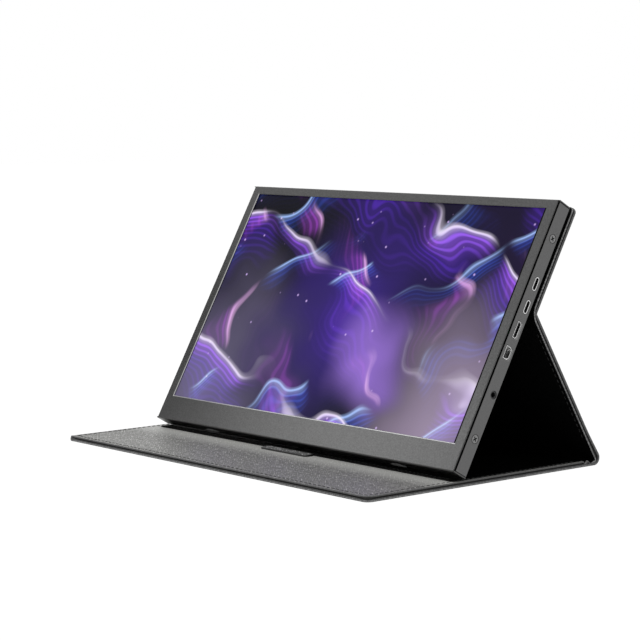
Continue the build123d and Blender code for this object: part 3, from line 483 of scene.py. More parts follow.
def leather(name, stops, edge, roughness, specular=0.5, field=None, face=0.6):
    """Split leather under a coat that an engraved roller has cross-hatched along both diagonals.

    Two noises are stretched along the diagonals of the leather laid flat, and the higher of them
    is the relief: its valleys are darker and its crowns lighter. At the cut edges a ramp of the
    height paints bands of painted highlight and painted shade, from one millimetre below its face
    to two above. Beyond the height called face, in millimetres, a piece shows only its edge.
    """
    line_width, relief_height = 0.75, 0.22
    edge_in, edge_out, blur = 0.30, 0.45, 0.05
    made, tree, shader, place = new_material(name, {"Specular IOR Level": specular})
    flat = add(tree, "Attribute", {"attribute_name": "laid_flat"}, "Vector")
    ridges = []
    for angle, length in ((45, 4.0), (-41, 7.0)):
        lined = add(tree, "Mapping", {
            "vector_type": "TEXTURE", "Vector": flat, "Rotation": (0, 0, math.radians(angle)),
            "Scale": (length * MM, line_width * MM, 1.0)})
        ridges.append(add(tree, "TexNoise", {
            "Vector": lined, "Scale": 1.0, "Detail": 1.0, "Roughness": 0.6}))
    relief = add(tree, "Math", {"operation": "MAXIMUM", 0: ridges[0], 1: ridges[1]})
    broad = add(tree, "TexNoise", {"Vector": flat, "Scale": per(11.0), "Detail": 4.0})
    height = add(tree, "Math", {"operation": "MULTIPLY_ADD", 0: broad, 1: 0.8, 2: relief})
    colour = add(tree, "ValToRGB", {"Fac": relief, "stops": stops})
    if field is not None:
        colour, gloss = field(tree, place, colour, specular)
        tree.links.new(gloss, shader.inputs["Specular IOR Level"])
    layer = add(tree, "Attribute", {"attribute_name": "layer_height"}, "Fac")
    inside = add(tree, "SeparateXYZ", {"Vector": flat}, "Z")
    cut = add(tree, "MapRange", {
        "Value": inside, "From Min": edge_out * MM, "From Max": edge_in * MM})
    depth = add(tree, "Math", {"operation": "ABSOLUTE", 0: layer})
    under = add(tree, "MapRange", {
        "Value": depth, "From Min": (face - blur) * MM, "From Max": (face + blur) * MM})
    bare = add(tree, "Math", {"operation": "MAXIMUM", 0: cut, 1: under})
    # Painted highlight and painted shade on the cut edges, by the height in the layer
    level = add(tree, "MapRange", {"Value": layer, "From Min": -1 * MM, "From Max": 2 * MM})
    edge_shade_and_highlight = add(tree, "ValToRGB", {"Fac": level, "stops": edge})
    frayed = add(tree, "MapRange", {"Value": relief, "From Min": 0.48, "From Max": 0.66,
                                    "To Min": 0.55, "To Max": 1.25})
    rough_edge = add(tree, "VectorMath", {"operation": "SCALE", 0: edge_shade_and_highlight, "Scale": frayed})
    seen = add(tree, "Mix", {"data_type": "RGBA", 0: bare, FIRST: colour, SECOND: rough_edge},
               MIXED)
    tree.links.new(seen, shader.inputs["Base Color"])
    rough = add(tree, "MapRange", {"Value": relief, "From Min": 0.45, "From Max": 0.75,
                                   "To Min": roughness + 0.12, "To Max": roughness - 0.08})
    tree.links.new(rough, shader.inputs["Roughness"])
    bump = add(tree, "Bump", {"Height": height, "Distance": relief_height * MM, "Strength": 0.9})
    tree.links.new(bump, shader.inputs["Normal"])
    return made


def painted_edge_highlight(tree, place, colour):
    """Painted highlight: a bright line is painted along the picture opening's lower edge and its
    left bevel.

    Both are bands: of the height up the face, which is the distance along its slope, and of the
    width. They end at the opening's corners.
    """
    line_half = 0.4                     # of the lower line, which lies just below the opening
    bevel_at, bevel_half = 0.2, 0.25    # the left bevel's place beside the opening
    past_ends, past_sides = 0.8, 0.5    # how far the lines run past the opening
    slope = (0, *heading(TILT))
    height = add(tree, "VectorMath", {"operation": "DOT_PRODUCT", 0: place, 1: slope}, "Value")
    width = add(tree, "SeparateXYZ", {"Vector": place}, "X")
    foot_at = float(np.dot(screen_point(0, 0, 0), slope)) / MM
    window_mid = (WINDOW_LOW + WINDOW_HIGH) / 2

    def band(value, middle, half):
        """One where the value lies within half of the middle, and nought elsewhere."""
        return add(tree, "Math", {"operation": "COMPARE", 0: value, 1: middle * MM, 2: half * MM})

    low_line = band(height, foot_at + WINDOW_LOW - line_half, line_half)
    left_line = band(width, SCREEN_X - WINDOW_HALF - bevel_at, bevel_half)
    share = add(tree, "Math", {"operation": "MAXIMUM", 0: low_line, 1: left_line})
    for limit in (band(height, foot_at + window_mid, WINDOW_HIGH - window_mid + past_ends),
                  band(width, SCREEN_X, WINDOW_HALF + past_sides)):
        share = add(tree, "Math", {"operation": "MULTIPLY", 0: share, 1: limit})
    # Painted highlight: the pale colour a4a4a4 on these lines
    return add(tree, "Mix", {
        "data_type": "RGBA", 0: share, FIRST: colour, SECOND: linear("a4a4a4")}, MIXED)


def painted_shade_in_holes(tree, place, colour):
    """Painted shade: holes and recesses in the side faces are painted black where they lie deeper
    than half a millimetre.

    The depth is measured inwards from the outer face of the side plates, along the width.
    """
    painted_shade_from, painted_shade_full = 0.45, 0.52
    width = add(tree, "SeparateXYZ", {"Vector": place}, "X")
    off = add(tree, "Math", {"operation": "SUBTRACT", 0: width, 1: SCREEN_X * MM})
    out = add(tree, "Math", {"operation": "ABSOLUTE", 0: off})
    shaded_depth = add(tree, "MapRange", {"Value": out, "From Min": (SCREEN_HALF - painted_shade_from) * MM,
                                  "From Max": (SCREEN_HALF - painted_shade_full) * MM})
    # Painted shade: near black deep in the holes and recesses
    return add(tree, "Mix", {
        "data_type": "RGBA", 0: shaded_depth, FIRST: colour, SECOND: linear("040404")}, MIXED)


def painted_shade_and_light_field(tree, place, colour, specular):
    """Lining behind the strip is dyed black and dull, and just before it the face is worn pale.

    The painted black begins where Y passes the front of the strip, and ends near the sides in X.
    The pale band fades out forwards in Y. Returns the colour and the gloss.
    """
    painted_light_band = (-60.0, -36.0)
    painted_shade_edges = (("Y", -31.2, -30.6), ("X", -152.5, -148.5), ("X", 158.0, 157.2))
    axes = add(tree, "SeparateXYZ", {"Vector": place}).node.outputs
    # Painted light: a pale band on the lining just in front of the strip
    painted_light = add(tree, "MapRange", {
        "interpolation_type": "SMOOTHSTEP", "Value": axes["Y"], "From Min": painted_light_band[0] * MM,
        "From Max": painted_light_band[1] * MM, "To Max": 0.55})
    colour = add(tree, "Mix", {
        "data_type": "RGBA", 0: painted_light, FIRST: colour, SECOND: linear("b4b4b1")}, MIXED)
    share = 1.0
    for axis, start, full in painted_shade_edges:
        step = add(tree, "MapRange", {
            "Value": axes[axis], "From Min": start * MM, "From Max": full * MM})
        share = add(tree, "Math", {"operation": "MULTIPLY", 0: step, 1: share})
    # Painted shade: near black behind the strip, where the screen shades the lining
    black = add(tree, "Mix", {
        "data_type": "RGBA", 0: share, FIRST: colour, SECOND: linear("020202")}, MIXED)
    return black, add(tree, "MapRange", {"Value": share, "To Min": specular, "To Max": 0.03})


def picture_material():
    """Lit picture behind anti-glare glass: folds of violet silk light over soft clouds of colour.

    Each cloud is a colour that fades with the distance from its centre, on a plane warped by
    noise. The folds are a saw wave that swells to a bright crest and then drops, and a sine of
    the same wave draws fine threads in it. They show in patches, between two levels of a noise.
    """
    warp_size, warp_depth, warp_mean = 95.0, 0.11, 0.055
    clouds = (                      # across, up the face and radius in metres, and colour
        (-0.115, 0.165, 0.16, "0a0a0f"), (0.135, 0.150, 0.13, "1a1030"),
        (-0.120, 0.025, 0.12, "6d6683"), (0.125, 0.020, 0.11, "9a8aa2"),
        (0.000, 0.095, 0.10, "37217c"), (0.040, 0.060, 0.05, "8f6cc8"))
    silks = (                       # heading, spacing, threads, patch size, patch levels, colours
        (24, 82.0, 16, 88.0, (0.40, 0.56), [
            (0.0, "000000"), (0.35, "0c0620"), (0.72, "45209c"), (0.90, "9a5cf2"),
            (0.965, "f2e6ff"), (1.0, "000000")]),
        (-38, 52.0, 13, 70.0, (0.48, 0.62), [
            (0.0, "000000"), (0.55, "0a0a2c"), (0.85, "2a46a8"), (0.96, "a6c6ff"),
            (1.0, "000000")]),
        (70, 64.0, 11, 60.0, (0.52, 0.64), [
            (0.0, "000000"), (0.50, "1c0a26"), (0.86, "8a3aa8"), (0.965, "f0b8f4"),
            (1.0, "000000")]))
    made, tree, shader, place = new_material("lit_display_cell", {
        "Base Color": linear("050507"), "Roughness": 0.3, "Specular IOR Level": 0.04})
    face = add(tree, "Mapping", {"Vector": place, "Rotation": (math.radians(-TILT), 0, 0)})
    level = add(tree, "VectorMath", {"operation": "MULTIPLY", 0: face, 1: (1.0, 1.0, 0.0)})
    warp = add(tree, "TexNoise", {"Vector": level, "Scale": per(warp_size), "Detail": 2.0}, "Color")
    bent = add(tree, "VectorMath", {
        "operation": "MULTIPLY_ADD", 0: warp, 1: (warp_depth, warp_depth, 0.0), 2: level})
    lit = linear("0e0b20")
    for x, v, radius, code in clouds:
        gap = add(tree, "VectorMath", {
            "operation": "DISTANCE", 0: bent, 1: (x + warp_mean, v + warp_mean, 0.0)}, "Value")
        near = add(tree, "MapRange", {
            "interpolation_type": "SMOOTHSTEP", "Value": gap, "From Max": radius,
            "To Min": 0.95, "To Max": 0.0})
        lit = add(tree, "Mix", {
            "data_type": "RGBA", 0: near, FIRST: lit, SECOND: linear(code)}, MIXED)
    for angle, spacing, threads, patch_size, patch_levels, glow in silks:
        lined = add(tree, "Mapping", {"Vector": bent, "Rotation": (0, 0, math.radians(angle))})
        folds = add(tree, "TexWave", {
            "wave_profile": "SAW", "bands_direction": "Y", "Vector": lined,
            "Scale": 2 * math.pi / 20 * per(spacing), "Distortion": 4.0, "Detail": 0.8,
            "Detail Scale": 0.5}, "Fac")
        turns = add(tree, "Math", {"operation": "MULTIPLY", 0: folds, 1: 2 * math.pi * threads})
        ripple = add(tree, "Math", {"operation": "SINE", 0: turns})
        thin = add(tree, "MapRange", {"Value": ripple, "From Min": -0.2, "From Max": 1.0,
                                      "To Min": 0.45, "To Max": 1.0})
        patches = add(tree, "TexNoise", {"Vector": lined, "Scale": per(patch_size), "Detail": 1.0})
        where = add(tree, "MapRange", {
            "interpolation_type": "SMOOTHSTEP", "Value": patches, "From Min": patch_levels[0],
            "From Max": patch_levels[1]})
        amount = add(tree, "Math", {"operation": "MULTIPLY", 0: where, 1: thin})
        shine = add(tree, "ValToRGB", {"Fac": folds, "stops": glow})
        lit = add(tree, "Mix", {"data_type": "RGBA", "blend_type": "SCREEN", 0: amount,
                                FIRST: lit, SECOND: shine}, MIXED)
    specks = add(tree, "TexVoronoi", {"Vector": level, "Scale": per(13.0)}, "Distance")
    spark = add(tree, "MapRange", {
        "interpolation_type": "SMOOTHSTEP", "Value": specks, "From Max": 0.11, "To Min": 0.9,
        "To Max": 0.0})
    lit = add(tree, "Mix", {"data_type": "RGBA", "blend_type": "SCREEN", 0: spark, FIRST: lit,
                            SECOND: linear("d8b8ff")}, MIXED)
    across = add(tree, "SeparateXYZ", {"Vector": level}, "X")
    shown = add(tree, "MapRange", {"Value": across, "From Min": PICTURE_END * MM,
                                   "From Max": (PICTURE_END - 0.2) * MM})
    lit = add(tree, "Mix", {
        "data_type": "RGBA", 0: shown, FIRST: linear("020202"), SECOND: lit}, MIXED)
    tree.links.new(lit, shader.inputs["Emission Color"])
    shader.inputs["Emission Strength"].default_value = 1.0
    return made


def board_material():
    """Glass-fibre board under green solder mask, with copper tracks showing as faint ridges."""
    made, tree, shader, place = new_material("glass_fibre_board", {"Roughness": 0.38})
    tracks = add(tree, "TexBrick", {
        "Vector": place, "Scale": per(9.0), "Color1": linear("0f3d22"), "Color2": linear("13482a"),
        "Mortar": linear("1f6a3c"), "Mortar Size": 0.03}).node.outputs
    tree.links.new(tracks["Color"], shader.inputs["Base Color"])
    bump = add(tree, "Bump", {"Height": tracks["Fac"], "Distance": 0.04 * MM})
    tree.links.new(bump, shader.inputs["Normal"])
    return made


# Blasting beads, filaments and fibres are finer than a pixel here, so each grain is drawn as
# coarse as it needs to show. Each finish gives its two colours, roughness, metallic share, and the
# size and height of its grain in millimetres.

# Dark grey anodised aluminium, blasted with fine beads: an even matt grain with a soft sheen, and
# painted highlights along the picture opening
anodised = grained("bead_blasted_anodised_aluminium", "565656", "4a4a4a", 0.30, 0.85, 1.0, 0.022,
                   field=painted_edge_highlight)
# The side plates' anodised face has a finer grain, and is a lighter copy of the bezel's finish:
# painted light on the side
lit_plate_metal = grained("satin_anodised_aluminium", "626262", "5a5a5a", 0.34, 0.85, 0.8, 0.008,
                      field=painted_shade_in_holes)
# The rear cover is anodised sheet, a shade darker than the side plates and a little cloudier
cover_metal = grained("dark_anodised_aluminium", "5a5a5e", "48484c", 0.36, 0.85, 0.6, 0.01)
# Milled aluminium is bare and pale, with the soft, even grain of the cutter's marks
milled = grained("milled_aluminium", "b8b8b6", "a4a4a2", 0.35, 1.0, 0.8, 0.02)
# Nickel over steel is bright, with a faint drawn grain, and painted shade, nearly black, inside a
# shell
nickel = grained("nickel_plated_steel", "e4e4e4", "d0d0d0", 0.24, 1.0, 0.5, 0.004,
                 shade=(0.3, 0.02))
# Stamped sheet steel is dipped in tin: dull silver, in broad soft patches
tinned = grained("tinned_steel", "aaaaa8", "949492", 0.34, 1.0, 1.5, 0.008)
# Side screws are turned steel, plated grey to match, with painted shade, black, in the cross
screw_steel = grained("grey_plated_screw_steel", "848484", "727272", 0.34, 1.0, 0.5, 0.006,
                      field=painted_shade_in_holes)
# The other screws are blackened steel, a little oily, with a dark sheen
black_steel = grained("blackened_steel", "4a4a4a", "3a3a3a", 0.34, 1.0, 0.5, 0.008)
# Nylon moulded in an etched tool: black and satin
moulded = grained("moulded_black_nylon", "1a1a1b", "121213", 0.45, 0.0, 0.35, 0.012)
# Foam cut from sheet: its small closed cells make it rough, black and quite without gloss
foam = grained("closed_cell_foam", "161616", "0e0e0e", 0.9, 0.0, 0.5, 0.06)
# Polyester film with a milky coat: smooth, off-white and soft in its gloss
film = grained("milky_polyester_film", "e2e2e4", "d8d8dc", 0.5, 0.0, 1.2, 0.003)
# Polyester film filled with white pigment: brighter, and more matt
white_film = grained("white_polyester_film", "f0f0ee", "e6e6e4", 0.55, 0.0, 1.2, 0.003)
# Acrylic cast between plates of glass: a clear gloss over a pale, faintly green sheet
acrylic = grained("cast_acrylic", "e6eeee", "dfe8ea", 0.12, 0.0, 2.0, 0.001)
# Copper between two rolled polyimide films: amber, with a soft gloss
ribbon = grained("polyimide_ribbon", "b07a2a", "9a6620", 0.4, 0.0, 1.0, 0.004)
# Extruded PVC sleeve: near black and half dull
lead = grained("pvc_sleeve", "222222", "181818", 0.5, 0.0, 0.6, 0.01)
# Board pressed from dyed paper fibre: brownish black, rough and dry
greyboard = grained("pressed_greyboard", "1c1b1a", "10100f", 0.95, 0.0, 0.7, 0.08)
# Moulded silicone rubber: matt, in a grey made lighter as painted light, so that the feet show in
# the shade under the screen
silicone = grained("silicone_rubber", "8e8e8e", "7a7a7a", 0.6, 0.0, 0.6, 0.01)
# Thread spun from polyester filaments: dark grey, with a fibrous grain
thread = grained("polyester_thread", "242424", "101010", 0.7, 0.0, 0.4, 0.05)
# Behind the screen the thread gets painted shade: black and duller, so that its seams hardly show
painted_shade_thread = grained("painted_shade_polyester_thread", "080808", "040404", 0.9, 0.0, 0.4, 0.05)
# Display cell: etched anti-glare glass, so the lit picture shows with hardly any reflection
picture = picture_material()
# Laminated circuit board: half glossy green lacquer over its tracks
circuit = board_material()
# Split leather under a rolled coat: dark grey, with paler crowns that catch the light. Its edge
# has a painted highlight, a pale band along the lip, with painted shade, dark, below and above it
rolled_coat = [(0.42, "1c1c1c"), (0.54, "2e2e2e"), (0.64, "464646"), (0.76, "787878")]
outer_leather = leather("cross_hatched_coated_leather", rolled_coat, [
    (0.33, "202020"), (0.56, "262626"), (0.59, "a0a0a0"), (0.66, "989898"), (0.69, "303030"),
    (1.0, "383838")], 0.40)
# On the panels behind the screen the edge has painted shade: the fold of the coat is painted darker
panel_leather_edge_shade = leather("cross_hatched_back_leather_edge_shade", rolled_coat, [
    (0.33, "181818"), (0.50, "202020"), (0.60, "484848"), (0.97, "404040")], 0.40)
# The tab is dark leather with lighter crowns where hands rub it, and its edge has painted shade,
# near black
tab_leather = leather("cross_hatched_tab_leather", [
    (0.42, "202020"), (0.54, "3c3c3c"), (0.64, "8c8c8c"), (0.76, "e8e8e8")], [
    (0.0, "030303"), (1.0, "050505")], 0.40, face=3.0)
# The lining has the same coat in a lighter grey, with painted shade on its cut edge; its field
# paints black shade behind the strip and a pale band of painted light before it
inner_leather = leather("cross_hatched_lining_leather", [
    (0.42, "3e3e3b"), (0.54, "5a5a57"), (0.64, "767673"), (0.76, "b8b8b4")], [
    (0.0, "101010"), (0.14, "2c2c2c"), (0.33, "484848")], 0.38, 0.6, field=painted_shade_and_light_field)
# The linings behind the screen get painted shade, black and dull, and a painted highlight, grey,
# where they are cut
painted_shade_black = [(0.45, "020202"), (0.75, "0a0a0a")]
painted_shade_lining = leather("painted_shade_lining_leather", painted_shade_black, [
    (0.0, "202020"), (0.10, "7c7c7c"), (0.33, "8c8c8c")], 0.7, 0.03)
# The strip gets painted shade: its face and its edge are the same dull black
strip_painted_shade_leather = leather("painted_shade_strip_leather", painted_shade_black, [
    (0.0, "020202"), (0.33, "0a0a0a"), (1.0, "0a0a0a")], 0.7, 0.05)


def paint(material, *names):
    """Gives CAD nodes a material, in their own slots."""
    for name in names:
        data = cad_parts[name].data
        data.materials.clear()
        data.materials.append(material)


def dress(piece, material, body, replaced=()):
    """Finish, body and replaced nodes of a new piece."""
    piece.data.materials.append(material)
    if body:
        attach(piece, body)
    if replaced:
        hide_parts(*replaced)
    return piece


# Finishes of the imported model's own pieces
paint(anodised, "front_bezel")
paint(lit_plate_metal, "side_plate_right", "side_plate_left", "power_button", "plus_button",
      "minus_button")
paint(cover_metal, "rear_cover")
paint(milled, "corner_posts", "board_standoffs")
paint(nickel, "usb_c_port_upper", "usb_c_port_lower", "mini_hdmi_port", "mini_dp_port",
      "flap_magnets")
paint(tinned, "panel_frame", "board_shield")
paint(screw_steel, "side_screws")
paint(black_steel, "cover_screws", "board_screws")
paint(moulded, "port_tongues", "audio_jack", "speaker_left", "speaker_right", "key_switches",
      "board_chips")
paint(foam, "window_gasket", "speaker_gaskets")
paint(film, "diffuser_films", "led_strip")
paint(white_film, "reflector_sheet")
paint(acrylic, "light_guide")
paint(ribbon, "display_cable", "key_cable")
paint(lead, "speaker_leads")
paint(greyboard, "flap_board", "rear_board", "upper_board")
paint(circuit, "main_board", "panel_board", "key_board")
paint(picture, "lcd_glass")

# Side paths of the cover's outer faces. The rear bend overshoots its angle and then gives back.
rear_out = np.array(REAR_FOLD) - PANEL_T / 2 * inward(REAR_LEAN)
upper_out = np.array(MID_FOLD) - PANEL_T / 2 * inward(TILT)
rear_in = np.array(REAR_FOLD) + PANEL_T / 2 * inward(REAR_LEAN)
upper_in = np.array(MID_FOLD) + PANEL_T / 2 * inward(TILT)
bend_r = 4.9                    # the leather's bulge round the rear fold
bend_y = 98.4                   # where it begins
over = 3.0                      # degrees that it overshoots
ease = 12.0                     # length over which it gives them back
seam_back = 6.0                 # the upper pieces begin this far below the middle fold
notch_r = 0.9                   # the outer leather's radius in the middle fold

flap_path = side_path((FRONT_Y, 0), 0, [(VALLEY_Y - FRONT_Y, 0)])
bend_end = np.array((bend_y, bend_r)) - bend_r * inward(REAR_LEAN + over)
proud = -float((bend_end - rear_out) @ inward(REAR_LEAN))
notch = cross_point(rear_out, REAR_LEAN, upper_out, TILT)
lean_run = max(1.0, proud / math.sin(math.radians(over)) - ease / 2)
up_from = bend_end + lean_run * heading(REAR_LEAN + over) + ease * heading(REAR_LEAN + over / 2)
up_run = float((notch - up_from) @ heading(REAR_LEAN)) - seam_back
bend_s = bend_y - VALLEY_Y
bend_l = bend_r * math.radians(REAR_LEAN + over)
rear_path = side_path((VALLEY_Y, 0), 0, [
    (bend_s, 0), (bend_l, REAR_LEAN + over), (lean_run, 0), (ease, -over), (up_run, 0)])
turn = REAR_LEAN - TILT
notch_cut = notch_r * math.tan(math.radians(turn / 2))
upper_path = side_path(notch - seam_back * heading(REAR_LEAN), REAR_LEAN, [
    (seam_back - notch_cut, 0), (notch_r * math.radians(turn), -turn),
    (UPPER_L + float((np.array(upper_out) - notch) @ heading(TILT)) - notch_cut, 0)])

# Inner faces: the spine's lining gathers into two wrinkles before it turns up the rear panel
fold_r = 12.0                   # the lining's radius over the middle fold
seam_gap = 2.0                  # the linings meet this far before it
valley = (VALLEY_Y, 1.95)
flap_in_path = smooth_path([
    (FRONT_Y, PANEL_T), (-60, PANEL_T), (0, PANEL_T), (60, PANEL_T), (80, PANEL_T),
    (85, PANEL_T), (87.0, PANEL_T + 0.1), (88.2, 3.6), (89.0, 2.5), (89.6, 2.0), (90.4, 2.4),
    (91.2, 3.4), (92.0, 3.85), (92.9, 3.45), (93.9, 2.35), valley])
spine_in = [valley, (96.0, 2.15), (97.2, 2.8), (98.2, 3.05), (98.9, 3.1), (99.2, 3.45), (99.0, 4.2)]
inner_corner = cross_point(rear_in, REAR_LEAN, upper_in, TILT)
fold_cut = fold_r * math.tan(math.radians(turn / 2))
seam_in = inner_corner - (fold_cut + seam_gap) * heading(REAR_LEAN)
steps_up = (5.0, 6.5, 9.0, 14.0, 30.0, 60.0, 90.0)      # points up the rear panel, from its fold
up_rear = [tuple(rear_in + k * heading(REAR_LEAN)) for k in steps_up]
up_rear = [p for p in up_rear if p[1] < seam_in[1] - 5]
up_rear += [tuple(seam_in - 4 * heading(REAR_LEAN)), tuple(seam_in)]
rear_in_path = smooth_path(spine_in + up_rear)
upper_in_path = side_path(seam_in, REAR_LEAN, [
    (seam_gap, 0), (fold_r * math.radians(turn), -turn),
    (UPPER_L + float((np.array(upper_in) - inner_corner) @ heading(TILT)) - fold_cut, 0)])


def cockle(x, s, size):
    """Small uneven swelling of gathered leather: a few sine waves across the width."""
    waves = (                       # share, length across, slant and start of each wave
        (1.0, 7.3, 0.9, 0.0), (0.7, 3.1, -1.3, 2.0), (0.5, 17.0, 0.4, 4.0))
    return size * sum(share * np.sin(x / length + slant * s + start)
                      for share, length, slant, start in waves)


def crease_cockle(centre, width):
    """Heights of a lining with cockles only near a crease.

    They fade in a bell of the distance along the path, and evenly towards the panel's edge.
    """
    size, edge_run = 0.10, 3

    def heights(x, s, d):
        """The lining's own heights, with the cockles added to its face."""
        high, low = lining_heights(x, s, d)
        near = np.exp(-((s - centre) / width) ** 2) * np.clip(d / edge_run, 0, 1)
        return high + cockle(x, s, size) * near, low
    return heights


# Outer leather, in three lengths that meet beside the folds. Each zone of rows has its start, its
# end and its count. They lie close together over the rolled edge of a free end, over its seam, and
# where the path bends.
roll_end, seam_end = 1.2, 8
flap_end, rear_end, upper_end = (path[0][-1] for path in (flap_path, rear_path, upper_path))
flap_rows = spread((0, roll_end, 13), (roll_end, seam_end, 16), (seam_end, 190, 40),
                   (190, flap_end, 28))
flap_leather = leather_panel("flap_outer_leather", flap_path, flap_rows, 0, pleated_heights,
                             free_low=True, corners=(1.5, 5.0))
rear_rows = spread((0, bend_s, 8), (bend_s, bend_s + bend_l, 30), (bend_s + bend_l, 45, 26),
                   (45, rear_end, 24))
rear_leather = leather_panel("rear_outer_leather", rear_path, rear_rows, 0, skin_heights)
upper_rows = spread((0, seam_back - 1, 10), (seam_back - 1, seam_back + 2, 16),
                    (seam_back + 2, upper_end - seam_end, 20),
                    (upper_end - seam_end, upper_end - roll_end, 16),
                    (upper_end - roll_end, upper_end, 13))
upper_leather = leather_panel("upper_outer_leather", upper_path, upper_rows, 0, skin_heights,
                              free_high=True)

# Linings, with many columns where they cockle
roll_end += LINING_IN
cockle_columns = 120
flap_in_end, rear_in_end, upper_in_end = (
    path[0][-1] for path in (flap_in_path, rear_in_path, upper_in_path))
flap_in_rows = spread((LINING_IN, roll_end, 13), (roll_end, seam_end, 16), (seam_end, 180, 36),
                      (180, flap_in_end, 60))
flap_lining = leather_panel("flap_lining_leather", flap_in_path, flap_in_rows, LINING_IN,
                            crease_cockle(flap_in_end - 3.0, 2.6), middle=cockle_columns,
                            free_low=True, corners=(1.5, 8.0))
rear_in_rows = spread((0, 14, 60), (14, 40, 20), (40, rear_in_end, 20))
rear_lining = leather_panel("rear_lining_leather", rear_in_path, rear_in_rows, LINING_IN,
                            crease_cockle(3.0, 2.4), middle=cockle_columns)
upper_in_rows = spread((0, 18, 30), (18, upper_in_end - seam_end, 20),
                       (upper_in_end - seam_end, upper_in_end - roll_end, 16),
                       (upper_in_end - roll_end, upper_in_end - LINING_IN, 13))
upper_lining = leather_panel("upper_lining_leather", upper_in_path, upper_in_rows, LINING_IN,
                             lining_heights, free_high=True)

for piece, material, slot_name, nodes in (
        (flap_leather, outer_leather, "outer_leather", ("flap_skin",)),
        (rear_leather, panel_leather_edge_shade, "outer_leather", ("rear_skin", "spine_skin")),
        (upper_leather, panel_leather_edge_shade, "outer_leather", ("upper_skin", "middle_crease")),
        (flap_lining, inner_leather, "inner_leather", ("flap_lining",)),
        (rear_lining, painted_shade_lining, "inner_leather", ("rear_lining", "spine_lining")),
        (upper_lining, painted_shade_lining, "inner_leather", ("upper_lining",))):
    dress(piece, material, None, nodes)


def across(piece, a, b, fold, angle, before, after):
    """Bakes a piece's placement into its mesh, without bending it; a, b, fold, angle, before and
    after are not used.
    """
    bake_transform(piece)


# Each leather with its two bodies, its fold, the angle that it is measured along, and the
# millimetres before and after the fold
half_turn = REAR_LEAN / 2
across(flap_leather, "flap", "spine", SPINE_FOLD, 0, -0.8, 0.8)
across(flap_lining, "flap", "spine", SPINE_FOLD, 0, -1.4, 1.0)
across(rear_leather, "spine", "rear_panel", REAR_FOLD, half_turn, -3.7, 4.2)
across(rear_lining, "spine", "rear_panel", REAR_FOLD, half_turn, -1.4, 1.0)
across(upper_leather, "rear_panel", "screen", MID_FOLD, 90, -1.0, 1.0)
across(upper_lining, "rear_panel", "screen", MID_FOLD, 90, -4.0, 4.0)

# Stitching, sunk in its groove on both faces of every panel. Each seam has its start and its end
# along the path, and stays clear of the folds
for name, material, body, inner_path, inner_seam, outer_path, outer_seam in (
        ("flap_stitches", thread, "flap",
         flap_in_path, seam_line(0, 188.0, free_low=True, inset=SEAM_IN + 0.15),
         flap_path, seam_line(0, 190.0, free_low=True)),
        ("rear_stitches", painted_shade_thread, "rear_panel",
         rear_in_path, seam_line(20.0, rear_in_end - 4),
         rear_path, seam_line(bend_s + bend_l + 2, rear_end - 2)),
        ("upper_stitches", painted_shade_thread, "screen",
         upper_in_path, seam_line(18.0, upper_in_end, free_high=True),
         upper_path, seam_line(seam_back + 4, upper_end, free_high=True))):
    dress(join(name, [stitches("inner", inner_path, inner_seam, SUNK_IN, 1),
                      stitches("outer", outer_path, outer_seam, SUNK_OUT, -1)]),
          material, body)


def soft_plate(name, x0, x1, y0, y1, thick, corner, crown):
    """Flat leather piece on the flap: height falls by a quarter circle at its edge.

    Widths are drawn in near the rounded corners, a shallow bell runs along the edge where the
    seam pulls, and the middle is crowned by a cosine.
    """
    z0, edge = PANEL_T, 0.45
    dip, dip_in, dip_half = 0.10, 1.9, 0.4
    cx, cy = (x0 + x1) / 2, (y0 + y1) / 2
    a, b = (x1 - x0) / 2, (y1 - y0) / 2
    steps = np.array([0, .04, .1, .2, .32, .5, .8, 1.2, 1.7, 2.2, 3.0])
    steps = steps[steps < min(a, b)]
    rows = np.concatenate((-b + steps, np.linspace(-b + steps[-1], b - steps[-1], 8)[1:-1],
                           (b - steps)[::-1]))
    near = np.clip(corner - (b - np.abs(rows)), 0, corner)
    width = a - (corner - np.sqrt(corner**2 - near**2))
    mid = np.linspace(-1, 1, 42)[1:-1]
    x = np.concatenate((-(width[:, None] - steps), mid * (width[:, None] - steps[-1]),
                        (width[:, None] - steps)[:, ::-1]), 1)
    y = np.broadcast_to(rows[:, None], x.shape)
    side, end = a - np.abs(x), b - np.abs(y)
    d = np.minimum(side, end)
    in_corner = (side < corner) & (end < corner)
    d = np.where(in_corner, corner - np.hypot(corner - side, corner - end), d)
    d = np.clip(d, 0, None)
    lift = crown * np.cos(x / a * math.pi / 2) * np.cos(y / b * math.pi / 2)
    high = z0 + thick - rolled(d, edge) + lift - dip * np.exp(-((d - dip_in) / dip_half) ** 2)
    low = np.full_like(x, z0)
    points = np.concatenate([np.stack((x + cx, y + cy, h), -1).reshape(-1, 3)
                             for h in (high, low)]) * MM
    flat = np.concatenate([np.stack((x, y, d, h - z0), -1).reshape(-1, 4)
                           for h in (high, low)]) * MM
    return mesh_object(name, points, shell_faces(*x.shape), 50, flat)


# Strip and tab, sewn down
strip_x0, strip_x1 = -149.5, 153.1
strip_y0, strip_y1 = REST[0] - STRIP_FRONT, REST[0] + STRIP_BACK
strip = soft_plate("stop_strip_leather", strip_x0, strip_x1, strip_y0, strip_y1, STRIP_T,
                   corner=1.0, crown=0.0)
dress(strip, strip_painted_shade_leather, "flap", ("stop_strip",))
tab = soft_plate("tab_leather_piece", -TAB_HALF, TAB_HALF, strip_y0 - TAB_L, strip_y0, TAB_T,
                 corner=2.0, crown=0.12)
dress(tab, tab_leather, "flap", ("leather_tab",))


